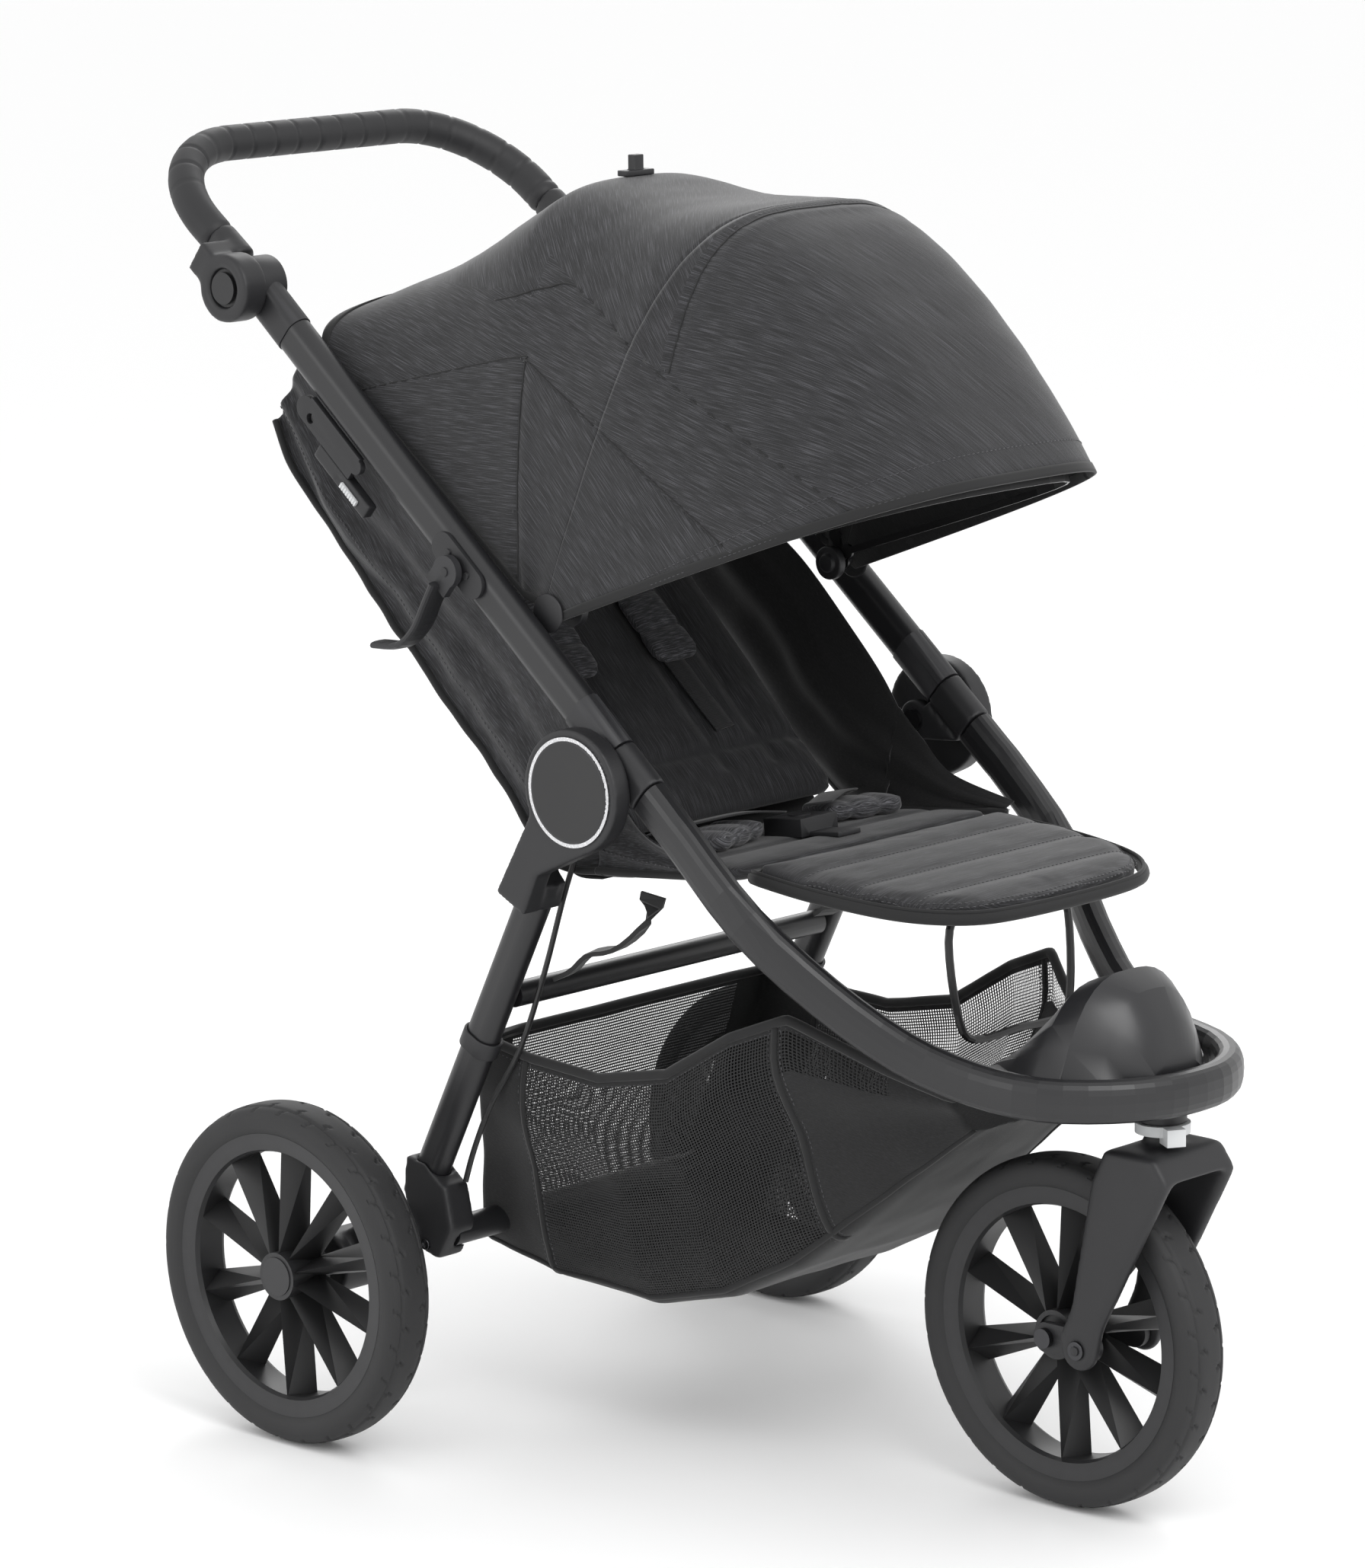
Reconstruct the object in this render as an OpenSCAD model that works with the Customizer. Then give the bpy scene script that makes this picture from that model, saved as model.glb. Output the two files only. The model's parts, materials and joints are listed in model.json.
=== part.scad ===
/* [Wheels] */
// Outer diameter of all three wheels
wheel_d = 300; // [290:1:304]
// Width of a tyre across its sidewalls
tyre_w = 46; // [40:1:48]
// Number of spokes in a wheel
spokes = 10; // [6:1:12]
// Distance between the middle planes of the rear wheels
track = 613; // [600:1:640]
// Distance from the rear axle to the front axle
wheelbase = 619; // [605:1:630]

/* [Frame] */
// Distance between the middle planes of the two side tubes
frame_w = 410; // [400:1:420]
// Depth of a side tube, seen from the side
tube_depth = 36; // [32:1:38]
// Width of a side tube, seen from above
tube_width = 24; // [20:1:26]
// Wall thickness of the side tubes
tube_wall = 2; // [1.5:0.5:3]
// Slope of the straight side tubes above the ground
tube_slope = 40.2; // [39:0.2:42]

/* [Handlebar] */
// Distance from the handlebar's pivot to the grip bar
handle_reach = 180; // [150:5:200]
// Slope of the handlebar above the ground
handle_slope = 36.5; // [30:0.5:45]
// Outer diameter of the foam grip
grip_d = 29; // [26:1:32]

/* [Seat and canopy] */
// Width of the seat's padding
seat_w = 330; // [300:5:340]
// Thickness of the seat's padding
pad_t = 16; // [12:1:20]
// Half of the canopy's width
canopy_half_w = 189; // [180:1:190]
// Thickness of the canopy's cloth with its lining
canopy_t = 4; // [3:0.5:5]

/* [Hidden] */

// Shades of the parts
alloy_black = [0.17, 0.17, 0.18];
plastic_black = [0.13, 0.13, 0.14];
cloth_grey = [0.24, 0.24, 0.26];
mesh_black = [0.10, 0.10, 0.11];
webbing_black = [0.09, 0.09, 0.10];
rubber_grey = [0.19, 0.19, 0.20];
light_grey = [0.72, 0.72, 0.73];

fine = 64;
coarse = 32;
gap = 0.5;           // clearance between pieces of different bodies
run = 0.05;          // radial clearance of a pin in its bore

// Places in the side view, [x, z], with the rear axle's line at x = 0
wheel_r = wheel_d / 2;
half_track = track / 2;
half_frame = frame_w / 2;
joint_line = [300, 627];                 // where the upper and lower tubes meet
up_dir = [-cos(tube_slope), sin(tube_slope)];
out_dir = [sin(tube_slope), cos(tube_slope)];
// A place near the tubes: s up the tube from the joint line, n out of its front face
function along(s, n = 0) = joint_line + s * up_dir + n * out_dir;
hinge_depth = 38;                        // the fold's axis lies this far behind the tubes' middle
hinge = along(0, -hinge_depth);
handle_pivot = along(562);
canopy_pivot = [207, 735];
seat_bight = [204, 528];                 // where the back meets the seat
steer_x = 716;                           // the front fork's steering axis
swing_pivot = [wheelbase + 44, wheel_r]; // the front suspension's pivot
leg_top = [231, 552];
leg_foot = [70, 236];
leg_dir = (leg_top - leg_foot) / norm(leg_top - leg_foot);
foot_tube = [88, 180];                   // the tube between the two rear feet
mid_tube = [159, 400];                   // the tube between the two rear legs
handle_dir = [-cos(handle_slope), sin(handle_slope)];
grip_axis = handle_pivot + handle_reach * handle_dir;

// The part's own origin lies under the middle of its length
x_front = wheelbase + wheel_r;
x_back = grip_axis[0] - grip_d / 2;
origin_x = -(x_front + x_back) / 2;
module row() { translate([origin_x, 0, 0]) children(); }
module both_sides() { children(); mirror([0, 1, 0]) children(); }

// A place and a direction in the side view: local X runs from a towards b
function heading(a, b) = atan2(b[1] - a[1], b[0] - a[0]);
module aim(a, angle, y = 0) {
    translate([a[0], y, a[1]]) rotate([0, -angle, 0]) children();
}

// Section with round ends, depth along X and width along Y
module stadium(depth, width) {
    square([depth - width, width], center = true);
    for (side = [-1, 1]) translate([side * (depth - width) / 2, 0]) circle(d = width, $fn = coarse);
}

// A straight tube of that section between two points of the side view
module side_tube(a, b, y, depth, width, wall = 0) {
    aim(a, heading(a, b), y) rotate([0, 90, 0]) linear_extrude(norm(b - a)) difference() {
        stadium(depth, width);
        if (wall > 0) stadium(depth - 2 * wall, width - 2 * wall);
    }
}

// A plate that lies in the side view: its outline is drawn in [x, z]
module side_plate(y0, y1) {
    translate([0, max(y0, y1), 0]) rotate([90, 0, 0]) linear_extrude(abs(y1 - y0)) children();
}
module round_bar(x, z, y0, y1, r, fn = fine) {
    translate([x, min(y0, y1), z]) rotate([-90, 0, 0]) cylinder(r = r, h = abs(y1 - y0), $fn = fn);
}

// Smooth curve through a few chosen points
function catmull(a, b, c, d, t) = 0.5 * ((2 * b) + (c - a) * t + (2 * a - 5 * b + 4 * c - d) * t * t
    + (3 * b - a - 3 * c + d) * t * t * t);
function smooth(p, n) = concat([for (i = [0:len(p) - 2]) for (k = [0:n - 1])
    catmull(p[max(i - 1, 0)], p[i], p[i + 1], p[min(i + 2, len(p) - 1)], k / n)], [p[len(p) - 1]]);
function mirrored(p) = concat(p, [for (i = [len(p) - 2:-1:0]) [p[i][0], -p[i][1], p[i][2]]]);
function unit(v) = v / norm(v);

// Skin over rings of points, closed at both ends; a ring that is an arch runs out and back again
module skin(rings, arch = false) {
    n = len(rings[0]);
    m = len(rings);
    quads = [for (i = [0:m - 2]) for (k = [0:n - 1])
        [i * n + k, (i + 1) * n + k, (i + 1) * n + (k + 1) % n, i * n + (k + 1) % n]];
    sides = [for (q = quads) each [[q[0], q[1], q[2]], [q[0], q[2], q[3]]]];
    first = arch ? [for (k = [0:n / 2 - 2]) each [[k, k + 1, n - 2 - k], [k, n - 2 - k, n - 1 - k]]]
        : [[for (k = [0:n - 1]) k]];
    last = [for (face = first) [for (i = [len(face) - 1:-1:0]) face[i] + (m - 1) * n]];
    polyhedron([for (ring = rings) each ring], concat(sides, first, last), convexity = 8);
}

// A section swept along a path, kept upright
function sweep_ring(path, i, section, up) = let(
    t = unit(path[min(i + 1, len(path) - 1)] - path[max(i - 1, 0)]),
    side = unit(cross(t, up)),
    v = cross(side, t))
    [for (p = section) path[i] + p[0] * v + p[1] * side];
function sweep_rings(path, section, up = [0, 0, 1]) =
    [for (i = [0:len(path) - 1]) sweep_ring(path, i, section, up)];
function oval(depth, width, n) = [for (k = [0:n - 1]) let(a = 360 * k / n)
    [depth / 2 * sign(cos(a)) * pow(abs(cos(a)), 0.75), width / 2 * sign(sin(a)) * pow(abs(sin(a)), 0.75)]];
function round_section(d, n) = [for (k = [0:n - 1]) let(a = 360 * k / n) d / 2 * [cos(a), sin(a)]];

// ---- Upper frame ----
knuckle_len = 54;
lug_r = 17.5;
tube_top = along(500);

module upper_tube() {
    color(alloy_black) side_tube(along(knuckle_len + gap), tube_top, -half_frame,
        tube_depth, tube_width, tube_wall);
}
// A lug from a knuckle to the fold's axis; side is 1 on the upper knuckle and -1 on the lower one
module knuckle_lug(y0, y1, side) {
    side_plate(y0, y1) difference() {
        union() {
            translate(hinge) circle(r = lug_r, $fn = fine);
            polygon([along(side * gap, -hinge_depth), along(side * gap, -17), along(side * 46, -17),
                along(side * 13.5, -hinge_depth - 11)]);
        }
        translate(hinge) circle(r = 6 + run, $fn = fine);
    }
}
module upper_knuckles() {
    color(plastic_black) both_sides() {
        side_tube(along(gap), along(knuckle_len), -half_frame, tube_depth + 2, tube_width + 2);
        knuckle_lug(-half_frame - 12, -half_frame - 0.5, 1);
    }
}
module handle_knuckles() {
    color(plastic_black) both_sides() difference() {
        union() {
            side_tube(tube_top + gap * up_dir, along(552), -half_frame, tube_depth + 2, tube_width + 2);
            round_bar(handle_pivot[0], handle_pivot[1], -half_frame - 12, -half_frame + 13, 25);
        }
        round_bar(handle_pivot[0], handle_pivot[1], -half_frame - 30, -half_frame + 30, 7 + run);
    }
}
module canopy_mounts() {
    color(plastic_black) both_sides() {
        round_bar(canopy_pivot[0], canopy_pivot[1], -half_frame + 12.2, -canopy_half_w - 0.5, 17);
        round_bar(canopy_pivot[0], canopy_pivot[1], -half_frame + 12.2, -160, 4);
        round_bar(canopy_pivot[0], canopy_pivot[1], -165, -157, 15);
        round_bar(canopy_pivot[0], canopy_pivot[1], -157, -154, 8);
    }
}
module fold_lock_plate() {
    color(plastic_black) aim(along(405), 180 - tube_slope, -half_frame - 6) difference() {
        rotate([90, 0, 0]) linear_extrude(6) union() {
            translate([-38, 18]) square([76, 24]);
            translate([38, 31]) circle(r = 11, $fn = fine);
            translate([-38, 27]) circle(r = 7, $fn = fine);
        }
        translate([28, 1, 34]) rotate([90, 0, 0]) cylinder(r = 4.5, h = 9, $fn = coarse);
    }
}
module fold_lock_body() {
    color(plastic_black) aim(along(375), 180 - tube_slope, -half_frame - 2) difference() {
        translate([-42, -10, 42 + gap]) cube([78, 12, 14]);
        translate([-30, -11, 48]) cube([34, 3, 6]);
    }
}
module lock_slider() {
    color(light_grey) aim(along(375), 180 - tube_slope, -half_frame - 2) difference() {
        translate([-29, -11.5, 48 + gap]) cube([24, 3, 5]);
        for (i = [0:6]) translate([-27.5 + 3.2 * i, -12, 48]) cube([1.2, 1.2, 7]);
    }
}
lever_pivot = along(224);
module brake_lever_bracket() {
    color(plastic_black) aim(lever_pivot, 180 - tube_slope, -half_frame - 12.2) {
        rotate([90, 0, 0]) linear_extrude(4) difference() {
            union() {
                square([44, 26], center = true);
                for (s = [-1, 1]) translate([22 * s, 0]) circle(r = 13, $fn = fine);
            }
        }
        for (s = [-1, 1]) translate([14 * s, -4, -2]) rotate([90, 0, 0]) cylinder(r = 3, h = 2, $fn = coarse);
        translate([0, -4, 6]) rotate([90, 0, 0]) cylinder(r = 4, h = 12, $fn = coarse);
    }
}
lever_path = [[0, 0], [-4, 22], [-8, 46], [-3, 72], [18, 94]];
module brake_lever() {
    bend = smooth([for (p = lever_path) [p[0], 0, p[1]]], 4);
    color(plastic_black) aim(lever_pivot, 180 - tube_slope, -half_frame - 24) difference() {
        union() {
            translate([0, 0, 20]) skin(sweep_rings(bend, oval(24, 7, 16), [0, 1, 0]));
            translate([0, 4, 6]) rotate([90, 0, 0]) cylinder(r = 14, h = 7, $fn = fine);
            translate([-13, -3, 6]) cube([26, 7, 18]);
        }
        translate([0, 9, 6]) rotate([90, 0, 0]) cylinder(r = 4 + run, h = 20, $fn = coarse);
    }
}

// ---- Handlebar ----
bar_half_w = 203;
bar_corner = 100;
function bar_point(s, y) = let(q = handle_pivot + s * handle_dir) [q[0], y, q[1]];
bar_path = concat([for (s = [44, 62, handle_reach - bar_corner]) bar_point(s, -bar_half_w)],
    [for (a = [9:9:90]) bar_point(handle_reach - bar_corner * (1 - sin(a)),
        -bar_half_w + bar_corner * (1 - cos(a)))],
    [for (y = [-70, -35, 0]) bar_point(handle_reach, y)]);
grip_path = [for (p = bar_path) if (norm([p[0], p[2]] - handle_pivot) > 60) p];
module handlebar_tube() {
    color(alloy_black) skin(sweep_rings(mirrored(bar_path), round_section(19, 12),
        [sin(handle_slope), 0, cos(handle_slope)]));
}
module handlebar_grip() {
    color(rubber_grey) difference() {
        skin(sweep_rings(mirrored(grip_path), round_section(grip_d, 20),
            [sin(handle_slope), 0, cos(handle_slope)]));
        skin(sweep_rings(mirrored(bar_path), round_section(19.4, 12),
            [sin(handle_slope), 0, cos(handle_slope)]));
    }
}
module handle_joint_housings() {
    color(plastic_black) both_sides() difference() {
        union() {
            round_bar(handle_pivot[0], handle_pivot[1], -half_frame - 41, -half_frame - 13.5, 30);
            side_tube(handle_pivot + 27 * handle_dir, handle_pivot + 62 * handle_dir,
                -bar_half_w, 34, 28);
            aim(handle_pivot, 180 - handle_slope, -half_frame - 27) {
                translate([14, -13, -15]) cube([30, 26, 30]);
                translate([29, -13, -15]) cube([16, 40, 30]);
            }
        }
        round_bar(handle_pivot[0], handle_pivot[1], -half_frame - 42, -half_frame - 31, 17);
        round_bar(handle_pivot[0], handle_pivot[1], -half_frame - 13.5, -half_frame + 15, 25 + gap);
        skin(sweep_rings(bar_path, round_section(19.4, 12),
            [sin(handle_slope), 0, cos(handle_slope)]));
    }
    color(plastic_black) both_sides()
        round_bar(handle_pivot[0], handle_pivot[1], -half_frame - 16, -half_frame + 13.5, 7);
}
module handle_button() {
    color(plastic_black) {
        round_bar(handle_pivot[0], handle_pivot[1], -half_frame - 40, -half_frame - 36, 14);
        round_bar(handle_pivot[0], handle_pivot[1], -half_frame - 36.5, -half_frame - 35.5, 16.5);
    }
}

// ---- Canopy ----
// Each hoop runs from its foot, over its crown, to its other foot: foot, crown, squareness
hoops = [[[-62, 930], [-80, 974], 3], [[176, 757], [131, 1083], 3.2], [[199, 757], [330, 1071], 3.4],
    [[212, 750], [448, 1003], 3.3], [[222, 746], [573, 860], 3.2]];
bow_t = 2;
bow_gap = 2.6;                           // between a bow and the cloth over it
// How far each panel lies inside the one behind it, so that the canopy folds back into itself
mid_inset = canopy_t + 1;
mid_bow_inset = mid_inset + canopy_t + bow_t / 2 + bow_gap;
front_inset = mid_bow_inset + bow_t / 2 + 1;
front_bow_inset = front_inset + canopy_t + bow_t / 2 + bow_gap;
function curl(v, e) = sign(v) * pow(abs(v), 2 / e);
function hoop_point(foot, crown, e, a, inset) = let(
    w = canopy_half_w - inset, rise = crown - foot, lift = (norm(rise) - inset) / norm(rise),
    q = foot + rise * lift * curl(sin(a), e))
    [q[0], -w * curl(cos(a), e), q[1]];
function hoop_mix(u, a, inset) = let(i = min(floor(u), len(hoops) - 2), s = u - i,
    h = hoops[i] * (1 - s) + hoops[i + 1] * s)
    hoop_point(h[0], h[1], h[2], a, inset);
module canopy_panel(u0, u1, inset) {
    angles = [for (k = [0:18]) 10 * k];
    steps = 4;
    color(cloth_grey) skin([for (j = [steps:-1:0]) let(u = u0 + (u1 - u0) * j / steps) concat(
        [for (a = angles) hoop_mix(u, a, inset)],
        [for (k = [18:-1:0]) hoop_mix(u, angles[k], inset + canopy_t)])], arch = true);
}
module canopy_bow(i, inset) {
    rise = unit(hoops[i][1] - hoops[i][0]);
    path = [for (k = [0:20]) hoop_point(hoops[i][0], hoops[i][1], hoops[i][2], 9 * k, inset)];
    color(plastic_black) skin(sweep_rings(path, [[-3, -1], [3, -1], [3, 1], [-3, 1]] * bow_t / 2,
        [-rise[1], 0, rise[0]]));
}
// The flat arm that carries a bow on its pivot
module bow_arm(i, inset) {
    y = -canopy_half_w + inset;
    arm_t = bow_t + 0.5;
    color(plastic_black) both_sides() side_plate(y - arm_t / 2, y + arm_t / 2) difference() {
        union() {
            translate(canopy_pivot) circle(r = 8, $fn = fine);
            translate(hoops[i][0]) circle(r = 6.5, $fn = coarse);
            translate((canopy_pivot + hoops[i][0]) / 2) rotate(heading(canopy_pivot, hoops[i][0]))
                square([norm(hoops[i][0] - canopy_pivot), 9], center = true);
        }
        translate(canopy_pivot) circle(r = 4 + run, $fn = fine);
    }
}
module canopy_clip() {
    color(plastic_black) translate([131, 0, 1083.5]) {
        translate([-6, -17, 0]) cube([12, 34, 5]);
        translate([-4, -6, 4]) cube([8, 12, 14]);
    }
}

// ---- Seat ----
back_top = [-112, 846];
slab_corner = 30;
module seat_slab(a, b, width, t) {
    aim((a + b) / 2, heading(a, b)) linear_extrude(t, center = true) {
        square([norm(b - a), width - 2 * slab_corner], center = true);
        square([norm(b - a) - 2 * slab_corner, width], center = true);
        for (sx = [-1, 1]) for (sy = [-1, 1])
            translate([sx * (norm(b - a) / 2 - slab_corner), sy * (width / 2 - slab_corner)])
                circle(r = slab_corner, $fn = coarse);
    }
}
module seat_back() { color(cloth_grey) seat_slab(seat_bight, back_top, seat_w, pad_t); }
module seat_wings() {
    color(cloth_grey) both_sides() side_plate(-half_frame + 22, -half_frame + 27)
        polygon([[-92, 938], [-140, 868], [-92, 796], [40, 672], [196, 520], [262, 516],
            [252, 560], [232, 640], [160, 715], [90, 768]]);
}
module shoulder_pads() {
    color(cloth_grey) for (side = [-1, 1]) aim(seat_bight, heading(seat_bight, back_top), side * 62)
        translate([270, 0, -pad_t / 2 - 9]) cube([210, 58, 14], center = true);
}
module harness_webbing() {
    color(webbing_black) {
        for (side = [-1, 1]) aim(seat_bight, heading(seat_bight, back_top), side * 58)
            translate([100, 0, -pad_t / 2 - 4]) cube([128, 28, 3], center = true);
    }
}
seat_rear = [214, 512];
seat_front = [396, 532];
buckle_x = 318;
module seat_base() {
    color(cloth_grey) seat_slab(seat_rear, seat_front, seat_w, pad_t);
}
// Draws on the seat's top face, above the place x
module on_seat(x) {
    slope = heading(seat_rear, seat_front);
    aim([x, seat_rear[1] + (x - seat_rear[0]) * tan(slope) + pad_t / 2 / cos(slope)], slope) children();
}
module waist_pads() {
    color(cloth_grey) on_seat(300) for (side = [-1, 1])
        translate([0, side * 82, 13.5]) rotate([0, 0, 14 * side])
        cube([60, 92, 26], center = true);
}
module harness_buckle() {
    color(plastic_black) on_seat(buckle_x) difference() {
        union() {
            translate([-22, -23, 0.5]) cube([44, 46, 16]);
            translate([10, -14, 0.5]) cube([46, 28, 4]);
        }
        translate([0, 0, 10]) cylinder(r = 10, h = 10, $fn = fine);
    }
}
module buckle_button() {
    color(plastic_black) on_seat(buckle_x) translate([0, 0, 13]) cylinder(r = 9.5, h = 4.5, $fn = fine);
}
rest_hinge = [404, 534];
rest_tip = [622, 518];
module leg_rest() {
    color(cloth_grey) aim(rest_hinge, heading(rest_hinge, rest_tip)) difference() {
        linear_extrude(14, center = true) union() {
            polygon([[0, -160], [60, -164], [150, -152], [196, -128], [214, -80],
                [214, 80], [196, 128], [150, 152], [60, 164], [0, 160]]);
        }
        translate([144, -92, -8]) cube([8, 184, 6]);
    }
}
prop_top = [549, 510];
prop_foot = [560, 399];
module calf_prop() {
    side = smooth([[prop_top[0], -40, prop_top[1]], [prop_top[0] + 1, -62, prop_top[1] - 1],
        [prop_top[0] + 2, -76, prop_top[1] - 26], [prop_foot[0] - 3, -72, prop_foot[1] + 24],
        [prop_foot[0], -56, prop_foot[1]], [prop_foot[0], 0, prop_foot[1]]], 4);
    color(plastic_black) skin(sweep_rings(mirrored(side), round_section(7, 8), [1, 0, 0.05]));
}

// ---- Lower frame ----
loop_side = [[380, half_frame, 559], [440, half_frame - 4, 503], [500, half_frame - 33, 446],
    [560, half_frame - 61, 404], [620, half_frame - 79, 384], [680, half_frame - 93, 378],
    [724, half_frame - 128, 377], [747, 34, 377], [751, 0, 377]];
lower_end = along(-47.5);
loop_start = [lower_end[0], half_frame, lower_end[1]];
loop_path = smooth(concat([loop_start, [358, half_frame, 578]], loop_side), 3);
module front_loop_tube() {
    color(alloy_black) skin(sweep_rings(mirrored(loop_path), oval(tube_depth, tube_width, 20)));
}
module lower_knuckles() {
    color(plastic_black) both_sides() {
        side_tube(along(-gap), along(-45.5), -half_frame, tube_depth + 2, tube_width + 2);
        knuckle_lug(-half_frame + 0.5, -half_frame + 12, -1);
    }
}
module hinge_bolts() {
    color(alloy_black) both_sides() {
        round_bar(hinge[0], hinge[1], -half_frame - 31, -half_frame + 14, 6);
        round_bar(hinge[0], hinge[1], -half_frame + 12.2, -half_frame + 16, 10);
    }
}
plate_edge = [for (p = loop_path) if (p[0] > 590 && p[1] > 20) [p[0] - 14, p[1] - 17]];
// Stations along the plate's dome: x, half width, height
dome = [[600, 84, 6], [628, 92, 36], [656, 92, 71], [680, 88, 80],
    [704, 66, 67], [720, 48, 42], [731, 32, 12]];
dome_edge = 3;
dome_base = 386;
function dome_ring(d) = concat(
    [for (k = [-8:8]) [d[0], d[1] * k / 8, dome_base + 1 + d[2] * (1 - pow(abs(k / 8), dome_edge))]],
    [for (k = [8:-1:-8]) [d[0], d[1] * k / 8, dome_base]]);
module foot_plate() {
    rim = concat([[604, 96]], plate_edge, [[735, 0]]);
    outline = concat(rim, [for (i = [len(rim) - 2:-1:0]) [rim[i][0], -rim[i][1]]]);
    color(plastic_black) {
        translate([0, 0, 377]) linear_extrude(12) polygon(outline);
        skin([for (i = [len(dome) - 1:-1:0]) dome_ring(dome[i])], arch = true);
    }
}
module swivel_housing() {
    color(plastic_black) difference() {
        union() {
            translate([steer_x, 0, 346]) cylinder(r = 20, h = 30.5, $fn = fine);
            translate([steer_x - 14, -44, 366]) cube([20, 88, 10.5]);
        }
        translate([steer_x, 0, 340]) cylinder(r = 8 + run, h = 34, $fn = fine);
    }
}
module swivel_lock_ring() {
    color(light_grey) translate([steer_x, 0, 336.5]) difference() {
        union() {
            cylinder(r = 23, h = 8.5, $fn = fine);
            rotate([0, 0, -30]) translate([14, -8, -6]) cube([18, 16, 14.5]);
        }
        translate([0, 0, -8]) cylinder(r = 16, h = 20, $fn = fine);
    }
}
fork_in = 34;
fork_out = 47;
module fork_side_outline() {
    difference() {
        union() {
            polygon([[swing_pivot[0] - 21, 158], [swing_pivot[0] - 8, 186], [steer_x - 40, 296],
                [steer_x - 26, 326], [steer_x + 26, 326], [steer_x + 42, 304], [swing_pivot[0] + 24, 170],
                [swing_pivot[0] + 18, 145], [swing_pivot[0] - 14, 140]]);
            translate(swing_pivot) circle(r = 19, $fn = fine);
        }
        translate(swing_pivot) circle(r = 4 + run, $fn = fine);
    }
}
module front_fork() {
    color(plastic_black) {
        difference() {
            side_plate(-fork_out, fork_out) fork_side_outline();
            translate([400, -fork_in, 0]) cube([400, 2 * fork_in, 304]);
            round_bar(wheelbase, wheel_r, -fork_in, fork_in, wheel_r + 8);
        }
        translate([steer_x, 0, 326]) cylinder(r = 15.4, h = 20 - gap, $fn = fine);
        translate([steer_x, 0, 326]) cylinder(r = 8, h = 42, $fn = fine);
    }
}
module suspension_arms() {
    color(plastic_black) both_sides() side_plate(-33.5, -27) difference() {
        union() {
            translate(swing_pivot) circle(r = 13, $fn = fine);
            translate([wheelbase, wheel_r]) circle(r = 13, $fn = fine);
            translate([wheelbase, wheel_r - 13]) square([44, 26]);
        }
        translate([wheelbase, wheel_r]) circle(r = 6 + run, $fn = fine);
    }
    color(plastic_black) both_sides() round_bar(swing_pivot[0], swing_pivot[1], -fork_out - 3, -27, 4);
}
module front_axle() {
    color(alloy_black) {
        round_bar(wheelbase, wheel_r, -38, 38, 6);
        both_sides() round_bar(wheelbase, wheel_r, -38.5, -33.7, 8.5);
    }
}

// ---- Wheels ----
rim_r = wheel_d * 0.418;
function tyre_half() = [[rim_r - 4, 15], [rim_r, 19], [rim_r + 6, tyre_w / 2 - 0.5], [rim_r + 12, tyre_w / 2],
    [wheel_r - 9, tyre_w / 2 - 1.5], [wheel_r - 3, tyre_w / 2 - 6], [wheel_r - 0.6, 10], [wheel_r, 7]];
module tyre() {
    half = tyre_half();
    color(rubber_grey) rotate([90, 0, 0]) rotate_extrude($fn = 120)
        polygon(concat(half, [for (i = [len(half) - 1:-1:0]) [half[i][0], -half[i][1]]]));
}
module spoke() {
    skin([
        [[19, -19, 0], [19, 10, -8], [19, 10, 8]],
        [[rim_r - 14, -13, 0], [rim_r - 14, 9, -15], [rim_r - 14, 9, 15]]]);
}
// The side that faces -Y is the outside
module rim() {
    color(plastic_black) difference() {
        union() {
            rotate([90, 0, 0]) rotate_extrude($fn = 96) polygon([[rim_r - 17, 13], [rim_r - 15, 17],
                [rim_r - 0.3, 19], [rim_r - 4.3, 15], [rim_r - 4.3, -15], [rim_r - 0.3, -19],
                [rim_r - 15, -17], [rim_r - 17, -13]]);
            for (i = [0:spokes - 1]) rotate([0, 360 / spokes * (i + 0.5), 0]) spoke();
            rotate([90, 0, 0]) translate([0, 0, -22]) cylinder(r = 21, h = 44, $fn = fine);
        }
        rotate([90, 0, 0]) cylinder(r = 6 + run, h = 80, center = true, $fn = fine);
        rotate([90, 0, 0]) translate([0, 0, 18.5]) cylinder(r = 17, h = 10, $fn = fine);
    }
}
module hub_cap() {
    color(plastic_black) round_bar(0, 0, -23, -18.6, 16.9);
}
module at_wheel(x, y, flip = false) {
    translate([x, y, wheel_r]) mirror([0, flip ? 1 : 0, 0]) children();
}

// ---- Rear frame ----
leg_in = half_frame - 12;
head_low = leg_top - 66 * leg_dir;
module rear_leg() {
    color(alloy_black) side_tube(leg_foot, head_low - gap * leg_dir, -half_frame, 32, 24, tube_wall);
}
module leg_heads() {
    color(plastic_black) both_sides() difference() {
        union() {
            round_bar(hinge[0], hinge[1], -half_frame - 34, -half_frame - 13.5, 53);
            side_plate(-half_frame - 34, -half_frame - 13.5)
                polygon([[hinge[0] - 47, hinge[1] - 24], [hinge[0] + 18, hinge[1] - 50],
                    head_low + [34, 28], head_low + [17, -8], head_low + [-15, 8]]);
            side_tube(head_low, head_low + 24 * leg_dir, -half_frame, 35, 27);
            side_plate(-half_frame - 14, -half_frame + 13)
                polygon([head_low + [17, -8], head_low + [24, 14], head_low + [8, 34], head_low + [-10, 12],
                    head_low + [-15, 8]]);
        }
        round_bar(hinge[0], hinge[1], -half_frame - 40, -half_frame, 6 + run);
        round_bar(hinge[0], hinge[1], -half_frame - 35, -half_frame - 31.5, 47);
    }
}
module hinge_badges() {
    color(light_grey) both_sides() difference() {
        round_bar(hinge[0], hinge[1], -half_frame - 34.5, -half_frame - 32, 46.6);
        round_bar(hinge[0], hinge[1], -half_frame - 36, -half_frame - 33.6, 43.5);
    }
}
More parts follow.
